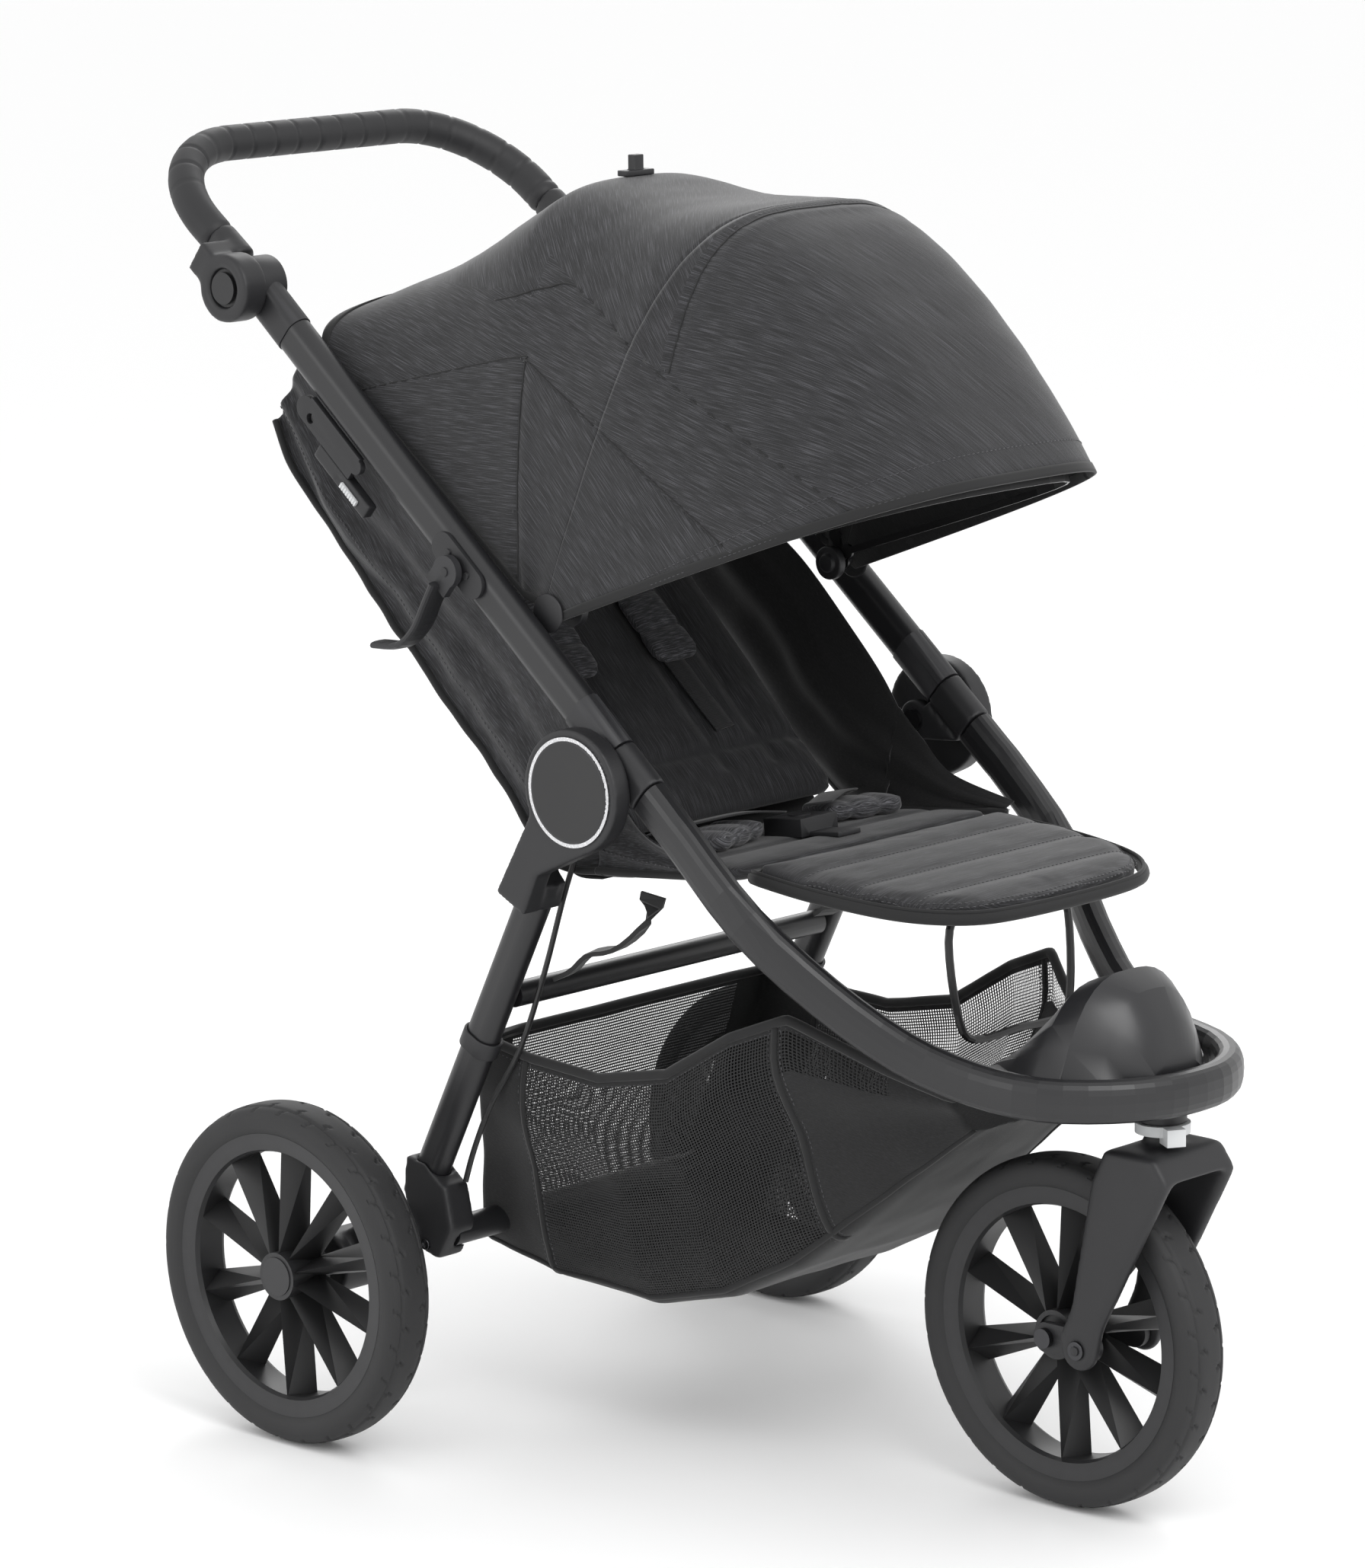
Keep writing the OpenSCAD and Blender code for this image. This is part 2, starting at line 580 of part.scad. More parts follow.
module leg_collars() {
    color(plastic_black) both_sides() {
        difference() {
            side_tube(leg_foot + 128 * leg_dir, leg_foot + 144 * leg_dir, -half_frame, 38, 29);
            side_tube(leg_foot + 110 * leg_dir, leg_foot + 170 * leg_dir, -half_frame, 32.3, 24.3);
        }
    }
}
module axle_housings() {
    color(plastic_black) both_sides() {
        difference() {
            union() {
                side_plate(-half_frame - 15, -half_frame + 15)
                    polygon([leg_foot + [-20, 10], leg_foot + [-24, -22], [60, 166], [88, 158], [106, 188],
                        leg_foot + [28, -12], leg_foot + [20, -8], leg_foot + [4, 6]]);
                side_plate(-half_frame - 52, -half_frame + 2) polygon([[-4, 130], [52, 158], [64, 180],
                    [46, 200], [-4, 170]]);
                round_bar(0, wheel_r, -half_frame - 66, -half_frame - 20, 28);
            }
            round_bar(0, wheel_r, -half_frame - 90, -half_frame - 10, 6.02);
            round_bar(foot_tube[0], foot_tube[1], -half_frame, -half_frame + 30, 12.5);
            side_tube(leg_foot - 2 * leg_dir, leg_top, -half_frame, 32.4, 24.4);
        }
    }
}
module cross_bars() {
    color(alloy_black) {
        round_bar(mid_tube[0], mid_tube[1], -leg_in + 0.5, leg_in - 0.5, 11);
        round_bar(foot_tube[0], foot_tube[1], -half_frame + 1, half_frame - 1, 12.5);
    }
}
cable_route = [[232, -188, 530], [216, -188, 490], [191, -186, 424], [161, -187, 352], [128, -190, 300],
    [112, -196, 258], [106, -202, 228]];
module brake_cable() {
    color(webbing_black) skin(sweep_rings(smooth(cable_route, 4), round_section(5, 8), [0, 1, 0]));
}
strap_route = [[286, -150, 498], [276, -152, 470], [250, -156, 448], [222, -160, 440], [204, -164, 424],
    [190, -166, 416]];
module fold_stop_straps() {
    flat = [[-2, -11], [2, -11], [2, 11], [-2, 11]];
    color(webbing_black) both_sides() skin(sweep_rings(smooth(strap_route, 3), flat, [0.3, 0, 1]));
}
module rear_axles() {
    color(alloy_black) both_sides() round_bar(0, wheel_r, -half_track - 17, -half_frame - 20, 6);
}

// ---- Basket ----
// Stations along the bag: x, half width at the rim, rim height, floor height, half width of the floor,
// and how far the floor reaches back past the rim
bag = [[108, 178, 352, 152, 140, 50], [170, 182, 344, 134, 136, 22], [250, 184, 340, 126, 128, 0],
    [330, 182, 356, 146, 122, 0], [400, 178, 398, 182, 116, 0], [455, 168, 420, 224, 108, 0],
    [515, 128, 384, 276, 92, 0], [575, 100, 360, 326, 78, 0]];
bag_t = 4;
function bag_ring(s, t, ahead) = let(x = s[0] + ahead, w = s[1] - t, b = s[4] - t, low = s[3] + t,
    h = s[2] - low, top = s[2] + (t > 0 ? 6 : 0), foot = x - s[5], bulge = x - 0.5 * s[5])
    [[x, w, top], [x, -w, top], [bulge, -w + 2, low + 0.65 * h], [foot, -b - 12, low + 0.16 * h],
     [foot, -b + 14, low + 0.02 * h], [foot, 0, low], [foot, b - 14, low + 0.02 * h],
     [foot, b + 12, low + 0.16 * h], [bulge, w - 2, low + 0.65 * h]];
module basket() {
    last = len(bag) - 1;
    color(mesh_black) difference() {
        skin([for (s = bag) bag_ring(s, 0, 0)]);
        skin([for (i = [0:last]) bag_ring(bag[i], bag_t, i == 0 ? bag_t : i == last ? -bag_t : 0)]);
        round_bar(foot_tube[0], foot_tube[1], -half_frame, half_frame, 14);
    }
}

// ---- Which node is drawn ----
row() {
    upper_tube();  // upper_tube_right
    mirror([0, 1, 0]) upper_tube();  // upper_tube_left
    upper_knuckles();
    handle_knuckles();
    canopy_mounts();
    fold_lock_plate();
    fold_lock_body();
    lock_slider();
    brake_lever_bracket();
    brake_lever();
    handlebar_tube();
    handlebar_grip();
    handle_joint_housings();
    handle_button();  // handle_button_right
    mirror([0, 1, 0]) handle_button();  // handle_button_left
    canopy_panel(0, 1, 0);  // canopy_rear_panel
    canopy_bow(0, canopy_t + bow_t / 2 + bow_gap);  // canopy_rear_bow
    canopy_panel(1, 2, mid_inset);  // canopy_mid_panel
    union() {  // canopy_mid_bow
        canopy_bow(2, mid_bow_inset);
        bow_arm(2, mid_bow_inset);
    }
    canopy_panel(2, 4, front_inset);  // canopy_front_panel
    union() {  // canopy_front_bow
        canopy_bow(4, front_bow_inset);
        bow_arm(4, front_bow_inset);
    }
    canopy_clip();
    seat_back();
    seat_wings();
    shoulder_pads();
    harness_webbing();
    seat_base();
    waist_pads();
    harness_buckle();
    buckle_button();
    leg_rest();
    calf_prop();
    front_loop_tube();
    lower_knuckles();
    hinge_bolts();
    foot_plate();
    swivel_housing();
    swivel_lock_ring();
    front_fork();
    suspension_arms();
    front_axle();
    basket();
    rear_leg();  // rear_leg_right
    mirror([0, 1, 0]) rear_leg();  // rear_leg_left
    leg_heads();
    hinge_badges();
    leg_collars();
    axle_housings();
    cross_bars();
    brake_cable();
    fold_stop_straps();
    rear_axles();
    at_wheel(wheelbase, 0) tyre();  // front_tyre
    at_wheel(wheelbase, 0) rim();  // front_rim
    at_wheel(0, -half_track) tyre();  // right_tyre
    at_wheel(0, -half_track) rim();  // right_rim
    at_wheel(0, -half_track) hub_cap();  // right_hub_cap
    at_wheel(0, half_track, true) tyre();  // left_tyre
    at_wheel(0, half_track, true) rim();  // left_rim
    at_wheel(0, half_track, true) hub_cap();  // left_hub_cap
}
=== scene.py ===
# %% [markdown]
# # A three-wheeled baby stroller
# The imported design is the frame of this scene: every tube, hinge and wheel is already at its real size and
# place, in metres, with +X forwards, +Y to the child's left and +Z up. This lesson gives each of them its
# finish, and makes the pieces that a drawing of solids can't hold: cloth, padding, webbing, tread and seams.

# %% Load the frame
import json
import math

import bmesh
import bpy
from mathutils import Matrix, Vector, noise
from mathutils.bvhtree import BVHTree
from mathutils.kdtree import KDTree


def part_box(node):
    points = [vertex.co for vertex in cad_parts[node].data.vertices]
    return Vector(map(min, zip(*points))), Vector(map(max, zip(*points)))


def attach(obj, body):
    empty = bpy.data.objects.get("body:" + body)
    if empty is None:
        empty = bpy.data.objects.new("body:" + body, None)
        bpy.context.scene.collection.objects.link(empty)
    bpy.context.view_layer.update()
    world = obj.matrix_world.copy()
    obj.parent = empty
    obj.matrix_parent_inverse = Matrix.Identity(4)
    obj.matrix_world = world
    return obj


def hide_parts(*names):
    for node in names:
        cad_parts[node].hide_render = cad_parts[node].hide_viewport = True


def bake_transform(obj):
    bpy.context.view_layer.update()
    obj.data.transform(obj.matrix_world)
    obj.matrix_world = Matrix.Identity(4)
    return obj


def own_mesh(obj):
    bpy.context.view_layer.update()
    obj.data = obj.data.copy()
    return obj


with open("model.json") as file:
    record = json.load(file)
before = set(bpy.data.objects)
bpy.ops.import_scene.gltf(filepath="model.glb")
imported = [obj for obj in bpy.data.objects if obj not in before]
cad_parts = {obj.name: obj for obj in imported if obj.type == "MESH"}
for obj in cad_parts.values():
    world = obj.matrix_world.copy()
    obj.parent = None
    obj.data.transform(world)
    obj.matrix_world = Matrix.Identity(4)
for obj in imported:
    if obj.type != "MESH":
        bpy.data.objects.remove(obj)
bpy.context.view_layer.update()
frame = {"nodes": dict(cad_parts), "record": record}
MM = 0.001

# %% [markdown]
# ## The camera
# A long lens from five metres keeps the lines of the frame nearly parallel, as a catalogue picture does.
# It looks from the front right corner, a little above the canopy's height, and aims at the seat.

# %% Place the camera
VIEW_TURN = math.radians(43.73)
VIEW_DROP = math.radians(11.13)
VIEW_ROLL = math.radians(-0.67)
VIEW_DISTANCE = 5.351
aim_at = Vector((-0.0625, 0.0, 0.557))
towards_eye = Vector((math.sin(VIEW_TURN) * math.cos(VIEW_DROP),
                      -math.cos(VIEW_TURN) * math.cos(VIEW_DROP), math.sin(VIEW_DROP)))
bpy.ops.object.camera_add(location=aim_at + towards_eye * VIEW_DISTANCE)
camera = bpy.context.object
camera.name = "camera"
camera.rotation_mode = "QUATERNION"
level = (-towards_eye).to_track_quat("-Z", "Y")
camera.rotation_quaternion = level @ Matrix.Rotation(VIEW_ROLL, 4, "Z").to_quaternion()
camera.data.sensor_width = 36
camera.data.lens = 141.3
camera.data.clip_end = 50
bpy.context.scene.camera = camera
print("camera at", [round(v, 2) for v in camera.location])

# %% [markdown]
# ## Light
# The real object stands in a white studio. Three large soft lamps and a bright world give it an even light
# with long pale reflections along the tubes, which is what makes dark paint readable.

# %% Floor, world and lamps
bpy.ops.mesh.primitive_plane_add(size=30, location=(0, 0, -0.0005))
floor = bpy.context.object
floor.name = "studio_floor"
floor_paint = bpy.data.materials.new("matte_white_floor")
floor_paint.use_nodes = True
floor_paint.node_tree.nodes["Principled BSDF"].inputs["Base Color"].default_value = (0.93, 0.93, 0.93, 1)
floor_paint.node_tree.nodes["Principled BSDF"].inputs["Roughness"].default_value = 0.9
floor.data.materials.append(floor_paint)
bpy.context.scene.view_settings.view_transform = "Standard"
world = bpy.data.worlds.new("studio")
bpy.context.scene.world = world
world.use_nodes = True
world.node_tree.nodes["Background"].inputs["Color"].default_value = (1, 1, 1, 1)
world.node_tree.nodes["Background"].inputs["Strength"].default_value = 1.05


def soft_lamp(name, place, size, watts):
    """A large square lamp that looks at the stroller's middle."""
    bpy.ops.object.light_add(type="AREA", location=place)
    lamp = bpy.context.object
    lamp.name = name
    lamp.data.size = size
    lamp.data.energy = watts
    lamp.rotation_mode = "QUATERNION"
    lamp.rotation_quaternion = (aim_at - lamp.location).to_track_quat("-Z", "Y")
    return lamp


soft_lamp("lamp_key", Vector((3.2, -1.0, 3.4)), 2.2, 75)
soft_lamp("lamp_side", Vector((-1.5, -4.2, 1.8)), 2.0, 25)
soft_lamp("lamp_back", Vector((-2.5, 2.8, 2.8)), 1.8, 40)
print("three lamps and a white world")

# %% [markdown]
# ## Helpers
# Colours are written as the hex values that a paint chart gives, and one function turns them to linear
# light. A material is a few nodes on a Principled shader, and one function adds a node with its settings.

# %% Colours, nodes and materials
def linear(hex_colour, alpha=1.0):
    """An sRGB hex colour, such as '3a3a3c', as linear red, green, blue and alpha."""
    parts = [int(hex_colour[i:i + 2], 16) / 255 for i in (0, 2, 4)]
    return [c / 12.92 if c <= 0.04045 else ((c + 0.055) / 1.055) ** 2.4 for c in parts] + [alpha]


def node(tree, kind, settings=None, links=None):
    """Adds a node. Settings are its properties or socket values, links join its sockets to sources."""
    made = tree.nodes.new(kind)
    for key, value in (settings or {}).items():
        if key == "stops":
            while len(made.color_ramp.elements) < len(value):
                made.color_ramp.elements.new(0.5)
            for element, (place, colour) in zip(made.color_ramp.elements, value):
                element.position = place
                element.color = linear(colour)
        elif isinstance(key, int) or key in made.inputs:
            made.inputs[key].default_value = value
        else:
            setattr(made, key, value)
    for key, source in (links or {}).items():
        tree.links.new(source, made.inputs[key])
    return made


def material(name, colour, roughness, **shader_values):
    """A new material with its Principled shader's own values set; returns it, its tree and the shader."""
    made = bpy.data.materials.new(name)
    made.use_nodes = True
    shader = made.node_tree.nodes["Principled BSDF"]
    shader.inputs["Base Color"].default_value = linear(colour)
    shader.inputs["Roughness"].default_value = roughness
    for key, value in shader_values.items():
        shader.inputs[key.replace("_", " ")].default_value = value
    return made, made.node_tree, shader


print("helpers ready")
# %% [markdown]
# ## Powder-coated alloy tube
# The side tubes, the loop and the legs are aluminium with a satin charcoal powder coat. Powder melts into a
# skin with a faint orange peel, so highlights along a tube are wide and soft and never mirror-like. A fine
# noise gives the peel, and a second, wide one lets the gloss drift a little, as on a coat sprayed by hand.

# %% Powder-coated alloy
def powder_coat(name, colour, roughness, peel_mm):
    made, tree, shader = material(name, colour, roughness, Coat_Weight=0.12, Coat_Roughness=0.35)
    place = node(tree, "ShaderNodeTexCoord")
    peel = node(tree, "ShaderNodeTexNoise", {"Scale": 1000 / peel_mm, "Detail": 2.0},
                {"Vector": place.outputs["Object"]})
    drift = node(tree, "ShaderNodeTexNoise", {"Scale": 9.0, "Detail": 3.0},
                 {"Vector": place.outputs["Object"]})
    gloss = node(tree, "ShaderNodeMapRange", {"To Min": roughness - 0.06, "To Max": roughness + 0.08},
                 {"Value": drift.outputs["Fac"]})
    tree.links.new(gloss.outputs["Result"], shader.inputs["Roughness"])
    bump = node(tree, "ShaderNodeBump", {"Strength": 0.10, "Distance": 0.0004},
                {"Height": peel.outputs["Fac"]})
    tree.links.new(bump.outputs["Normal"], shader.inputs["Normal"])
    return made


alloy = powder_coat("powder_coated_alloy", "19191b", 0.38, 1.6)
coated_steel = powder_coat("coated_spring_steel", "121213", 0.34, 1.2)
print("made", alloy.name, "and", coated_steel.name)

# %% [markdown]
# ## Moulded nylon
# Hinges, housings and the fork are glass-filled nylon, moulded in a spark-eroded tool. The tool leaves a
# grain of about a millimetre that keeps the plastic matte. Handling polishes its edges slightly, and the
# pointiness of an edge paints it lighter: a painted highlight for their shine. The fender is a smoother
# moulding with a satin sheen.

# %% Moulded nylon and its variants
def moulded(name, colour, roughness, grain_mm, grain_depth, edge_highlight="333336"):
    made, tree, shader = material(name, colour, roughness)
    place = node(tree, "ShaderNodeTexCoord")
    grain = node(tree, "ShaderNodeTexNoise", {"Scale": 1000 / grain_mm, "Detail": 3.0, "Roughness": 0.6},
                 {"Vector": place.outputs["Object"]})
    cloud = node(tree, "ShaderNodeTexNoise", {"Scale": 14.0, "Detail": 4.0},
                 {"Vector": place.outputs["Object"]})
    # Sharp edges are painted lighter by their pointiness: a painted highlight, not a change of roughness.
    edge = node(tree, "ShaderNodeNewGeometry")
    edge_highlight_share = node(tree, "ShaderNodeMapRange", {"From Min": 0.52, "From Max": 0.60,
                                                 "To Min": 0.0, "To Max": 0.35},
               {"Value": edge.outputs["Pointiness"]})
    tint = node(tree, "ShaderNodeMix", {"data_type": "RGBA", "blend_type": "MIX", 6: linear(colour),
                                        7: linear(edge_highlight)}, {0: edge_highlight_share.outputs["Result"]})
    tree.links.new(tint.outputs[2], shader.inputs["Base Color"])
    gloss = node(tree, "ShaderNodeMapRange", {"To Min": roughness - 0.07, "To Max": roughness + 0.09},
                 {"Value": cloud.outputs["Fac"]})
    tree.links.new(gloss.outputs["Result"], shader.inputs["Roughness"])
    bump = node(tree, "ShaderNodeBump", {"Strength": grain_depth, "Distance": 0.0004},
                {"Height": grain.outputs["Fac"]})
    tree.links.new(bump.outputs["Normal"], shader.inputs["Normal"])
    return made


nylon = moulded("spark_eroded_nylon", "1d1d1f", 0.50, 1.1, 0.22)
wheel_nylon = moulded("moulded_wheel_nylon", "1b1b1c", 0.44, 1.6, 0.12)
fender_plastic = moulded("satin_fender_abs", "202022", 0.33, 2.2, 0.05)
dark_button = moulded("polished_button_nylon", "19191a", 0.36, 1.0, 0.10)
grey_acetal = moulded("light_grey_acetal", "bfc1c2", 0.42, 1.0, 0.10, edge_highlight="d4d5d6")
print("made five moulded plastics")

# %% [markdown]
# ## Rubber and foam
# The tyres are solid foam rubber with a matte, slightly dusty skin. The grip is a soft closed-cell sleeve,
# smoother than the tyre, whose pores are too small to see: its grain is drawn a little coarser than it is.

# %% Tyre rubber and grip foam
# The tyre and grip edges are painted lighter too: a painted highlight on each sharp edge.
tyre_rubber = moulded("foam_rubber_tyre", "222223", 0.66, 1.4, 0.30, edge_highlight="2e2e30")
grip_foam = moulded("closed_cell_grip", "1e1e20", 0.58, 1.2, 0.16, edge_highlight="29292b")
print("made", tyre_rubber.name, "and", grip_foam.name)

# %% [markdown]
# ## Metals
# Bolts are zinc-plated and blackened, and the ring round each hinge disc is bright and knurled. A metal
# keeps the default IOR. Its colour is its reflection, so both take a pale or dark tint and no texture colour.

# %% Blackened and bright metal
hardware, hardware_tree, hardware_shader = material("blackened_zinc", "4c4c4e", 0.34, Metallic=1.0)
scratch_place = node(hardware_tree, "ShaderNodeTexCoord")
scratches = node(hardware_tree, "ShaderNodeTexNoise", {"Scale": 700.0, "Detail": 4.0},
                 {"Vector": scratch_place.outputs["Object"]})
scratch_gloss = node(hardware_tree, "ShaderNodeMapRange", {"To Min": 0.24, "To Max": 0.46},
                     {"Value": scratches.outputs["Fac"]})
hardware_tree.links.new(scratch_gloss.outputs["Result"], hardware_shader.inputs["Roughness"])
bright_ring, ring_tree, ring_shader = material("knurled_bright_ring", "d2d2d4", 0.22, Metallic=1.0)
ring_place = node(ring_tree, "ShaderNodeTexCoord")
knurl = node(ring_tree, "ShaderNodeTexVoronoi", {"Scale": 520.0}, {"Vector": ring_place.outputs["Object"]})
ring_bump = node(ring_tree, "ShaderNodeBump", {"Strength": 0.8, "Distance": 0.0006},
                 {"Height": knurl.outputs["Distance"]})
ring_tree.links.new(ring_bump.outputs["Normal"], ring_shader.inputs["Normal"])
print("made", hardware.name, "and", bright_ring.name)

# %% [markdown]
# ## Melange cloth
# The canopy and the seat are a polyester weave of charcoal warp with a weft of uneven dark and pale yarn.
# Each pale length of yarn shows as a short streak along the weft, a thread wide and a few centimetres long.
# The cloth's UV map is in metres, with U along the weft, so a noise stretched 1:16 along U draws the yarn,
# and a seam where the map turns makes the streaks turn too, as between two real panels. Threads are 0.5 mm
# apart on the real cloth and 1.3 mm here, because finer ones wouldn't show. Sheen gives the fuzz its glow.

# %% Woven cloth
def woven(name, dark, middle, pale, thread_mm=1.3, streak_mm=21.0, sheen=0.22, coordinates="UV", spread=1.0):
    made, tree, shader = material(name, middle, 0.86, Sheen_Weight=sheen, Sheen_Roughness=0.45)
    place = node(tree, "ShaderNodeTexCoord")
    along = node(tree, "ShaderNodeMapping", {"Scale": (1000 / streak_mm, 1000 / thread_mm, 1000 / streak_mm)},
                 {"Vector": place.outputs[coordinates]})
    yarn = node(tree, "ShaderNodeTexNoise", {"Scale": 1.0, "Detail": 3.0, "Roughness": 0.62},
                {"Vector": along.outputs["Vector"]})
    colour = node(tree, "ShaderNodeValToRGB",
                  {"stops": [(0.5 - 0.16 * spread, dark), (0.5, middle), (0.5 + 0.20 * spread, pale)]},
                  {"Fac": yarn.outputs["Fac"]})
    threads_per_metre = 1000 / thread_mm
    across = node(tree, "ShaderNodeMapping", {"Scale": [threads_per_metre] * 3},
                  {"Vector": place.outputs[coordinates]})
    specks = node(tree, "ShaderNodeTexNoise", {"Scale": 0.9, "Detail": 1.0},
                  {"Vector": across.outputs["Vector"]})
    speck_light = node(tree, "ShaderNodeMapRange", {"From Min": 0.35, "From Max": 0.7, "To Min": 0.80,
                                                    "To Max": 1.16}, {"Value": specks.outputs["Fac"]})
    shade = node(tree, "ShaderNodeMix", {"data_type": "RGBA", "blend_type": "MULTIPLY", 0: 1.0},
                 {6: colour.outputs["Color"], 7: speck_light.outputs["Result"]})
    tree.links.new(shade.outputs[2], shader.inputs["Base Color"])
    bump = node(tree, "ShaderNodeBump", {"Strength": 0.35, "Distance": 0.0006},
                {"Height": yarn.outputs["Fac"]})
    tree.links.new(bump.outputs["Normal"], shader.inputs["Normal"])
    return made


melange = woven("charcoal_melange_weave", "0f0f11", "1d1d1f", "4a4a4e", thread_mm=0.7, streak_mm=30.0)
# A lighter copy of the melange for the harness pads, which lie in the seat's shade: painted light.
painted_light_melange = woven("melange_weave_painted_lighter", "1c1c1e", "39393c", "727276", thread_mm=1.0, streak_mm=14.0)
lining = woven("black_lining_weave", "08080a", "0e0e0f", "19191b", thread_mm=1.2, streak_mm=9, sheen=0.10)
plain_cloth = woven("black_basket_cloth", "0c0c0d", "131314", "1e1e20", thread_mm=1.1, streak_mm=4,
                    sheen=0.15)
binding = woven("dark_binding_tape", "0d0d0e", "141415", "232325", thread_mm=1.5, streak_mm=5, sheen=0.15)
thread = woven("sewing_thread", "2a2a2c", "38383b", "4e4e52", thread_mm=1.0, streak_mm=3, sheen=0.3)
print("made five cloths")

# %% [markdown]
# ## Open mesh and webbing
# The basket's sides are a knitted mesh with holes about 2 mm across, through which the floor shows. Two
# crossed bands in the UV map are the threads; where neither runs, the cloth is clear. Webbing is a flat
# weave with a rib every 1.6 mm along its length, drawn by one band.

# %% Mesh and webbing
def open_mesh(name, colour, pitch_mm, thread_share):
    made, tree, shader = material(name, colour, 0.8, Sheen_Weight=0.1)
    place = node(tree, "ShaderNodeTexCoord")
    parts = node(tree, "ShaderNodeSeparateXYZ", None, {"Vector": place.outputs["UV"]})
    threads = []
    for axis in ("X", "Y"):
        turns = node(tree, "ShaderNodeMath", {"operation": "MULTIPLY", 1: 1000 / pitch_mm},
                     {0: parts.outputs[axis]})
        wave = node(tree, "ShaderNodeMath", {"operation": "PINGPONG", 1: 0.5}, {0: turns.outputs[0]})
        threads.append(node(tree, "ShaderNodeMath", {"operation": "LESS_THAN", 1: thread_share / 2},
                            {0: wave.outputs[0]}))
    solid = node(tree, "ShaderNodeMath", {"operation": "MAXIMUM"},
                 {0: threads[0].outputs[0], 1: threads[1].outputs[0]})
    tree.links.new(solid.outputs[0], shader.inputs["Alpha"])
    return made


basket_mesh = open_mesh("knitted_basket_mesh", "161617", 2.8, 0.30)
webbing, webbing_tree, webbing_shader = material("ribbed_webbing", "1b1b1d", 0.72, Sheen_Weight=0.2)
webbing_place = node(webbing_tree, "ShaderNodeTexCoord")
webbing_parts = node(webbing_tree, "ShaderNodeSeparateXYZ", None, {"Vector": webbing_place.outputs["UV"]})
webbing_turns = node(webbing_tree, "ShaderNodeMath", {"operation": "MULTIPLY", 1: 1000 / 1.6},
                     {0: webbing_parts.outputs["X"]})
webbing_ribs = node(webbing_tree, "ShaderNodeMath", {"operation": "PINGPONG", 1: 0.5},
                    {0: webbing_turns.outputs[0]})
webbing_colour = node(webbing_tree, "ShaderNodeValToRGB", {"stops": [(0.0, "0f0f10"), (0.5, "2b2b2d")]},
                      {"Fac": webbing_ribs.outputs[0]})
webbing_tree.links.new(webbing_colour.outputs["Color"], webbing_shader.inputs["Base Color"])
webbing_bump = node(webbing_tree, "ShaderNodeBump", {"Strength": 0.6, "Distance": 0.0005},
                    {"Height": webbing_ribs.outputs[0]})
webbing_tree.links.new(webbing_bump.outputs["Normal"], webbing_shader.inputs["Normal"])
print("made", basket_mesh.name, "and", webbing.name)

# %% [markdown]
# ## Finishes of the frame's own pieces
# Each CAD node keeps its shape and only gets its finish here. The list says which finish each one has.

# %% Give the frame its finishes
finishes = {
    alloy: ["upper_tube_right", "upper_tube_left", "front_loop_tube", "rear_leg_right", "rear_leg_left",
            "cross_bars", "handlebar_tube"],
    nylon: ["upper_knuckles", "handle_knuckles", "lower_knuckles", "canopy_mounts", "fold_lock_plate",
            "fold_lock_body", "brake_lever_bracket", "brake_lever", "handle_joint_housings", "canopy_clip",
            "harness_buckle", "swivel_housing", "front_fork", "suspension_arms", "leg_heads", "leg_collars",
            "axle_housings"],
    dark_button: ["handle_button_right", "handle_button_left", "right_hub_cap", "left_hub_cap",
                  "buckle_button"],
    grey_acetal: ["lock_slider", "swivel_lock_ring"],
    wheel_nylon: ["front_rim", "right_rim", "left_rim"],
    tyre_rubber: ["front_tyre", "right_tyre", "left_tyre"],
    hardware: ["hinge_bolts", "front_axle", "rear_axles"],
    coated_steel: ["canopy_rear_bow", "canopy_mid_bow", "canopy_front_bow", "calf_prop", "brake_cable"],
    bright_ring: ["hinge_badges"],
    fender_plastic: ["foot_plate"],
    grip_foam: ["handlebar_grip"],
    webbing: ["harness_webbing", "fold_stop_straps"],
    melange: ["canopy_rear_panel", "canopy_mid_panel", "canopy_front_panel", "seat_back", "seat_wings",
              "shoulder_pads", "seat_base", "waist_pads", "leg_rest"],
    plain_cloth: ["basket"],
}
for finish, names in finishes.items():
    for name in names:
        piece = frame["nodes"][name]
        piece.data.materials.clear()
        piece.data.materials.append(finish)
print(sum(len(names) for names in finishes.values()), "nodes have their finish")

# %% [markdown]
# ## Places on the stroller
# The side view is measured in millimetres from the rear axle, and the scene's origin lies under the middle
# of the stroller, so one small function turns a side-view place into a scene place. Others make a mesh
# from points and faces, a tube along a path, and a smooth line through a few points.

# %% Places, grids and small tubes
rear_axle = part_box("rear_axles")
AXLE_X = 1000 * (rear_axle[0][0] + rear_axle[1][0]) / 2


def at(x, y, z):
    """A place given in millimetres from the rear axle's line, as metres in the scene."""
    return Vector(((x + AXLE_X) * MM, y * MM, z * MM))


def clear_selection():
    if bpy.context.mode != "OBJECT":
        bpy.ops.object.mode_set(mode="OBJECT")
    bpy.ops.object.select_all(action="DESELECT")


def pick(piece):
    clear_selection()
    piece.select_set(True)
    bpy.context.view_layer.objects.active = piece
    return piece


def new_piece(name, points, faces, finish, smooth=True):
    """A mesh object with one finish."""
    mesh = bpy.data.meshes.new(name)
    mesh.from_pydata([tuple(p) for p in points], [], faces)
    mesh.validate()
    piece = bpy.data.objects.new(name, mesh)
    bpy.context.scene.collection.objects.link(piece)
    for m in finish if isinstance(finish, list) else [finish]:
        mesh.materials.append(m)
    if smooth:
        mesh.polygons.foreach_set("use_smooth", [True] * len(mesh.polygons))
    return piece


def apply_modifiers(piece):
    pick(piece)
    for modifier in list(piece.modifiers):
        bpy.ops.object.modifier_apply(modifier=modifier.name)
    return piece


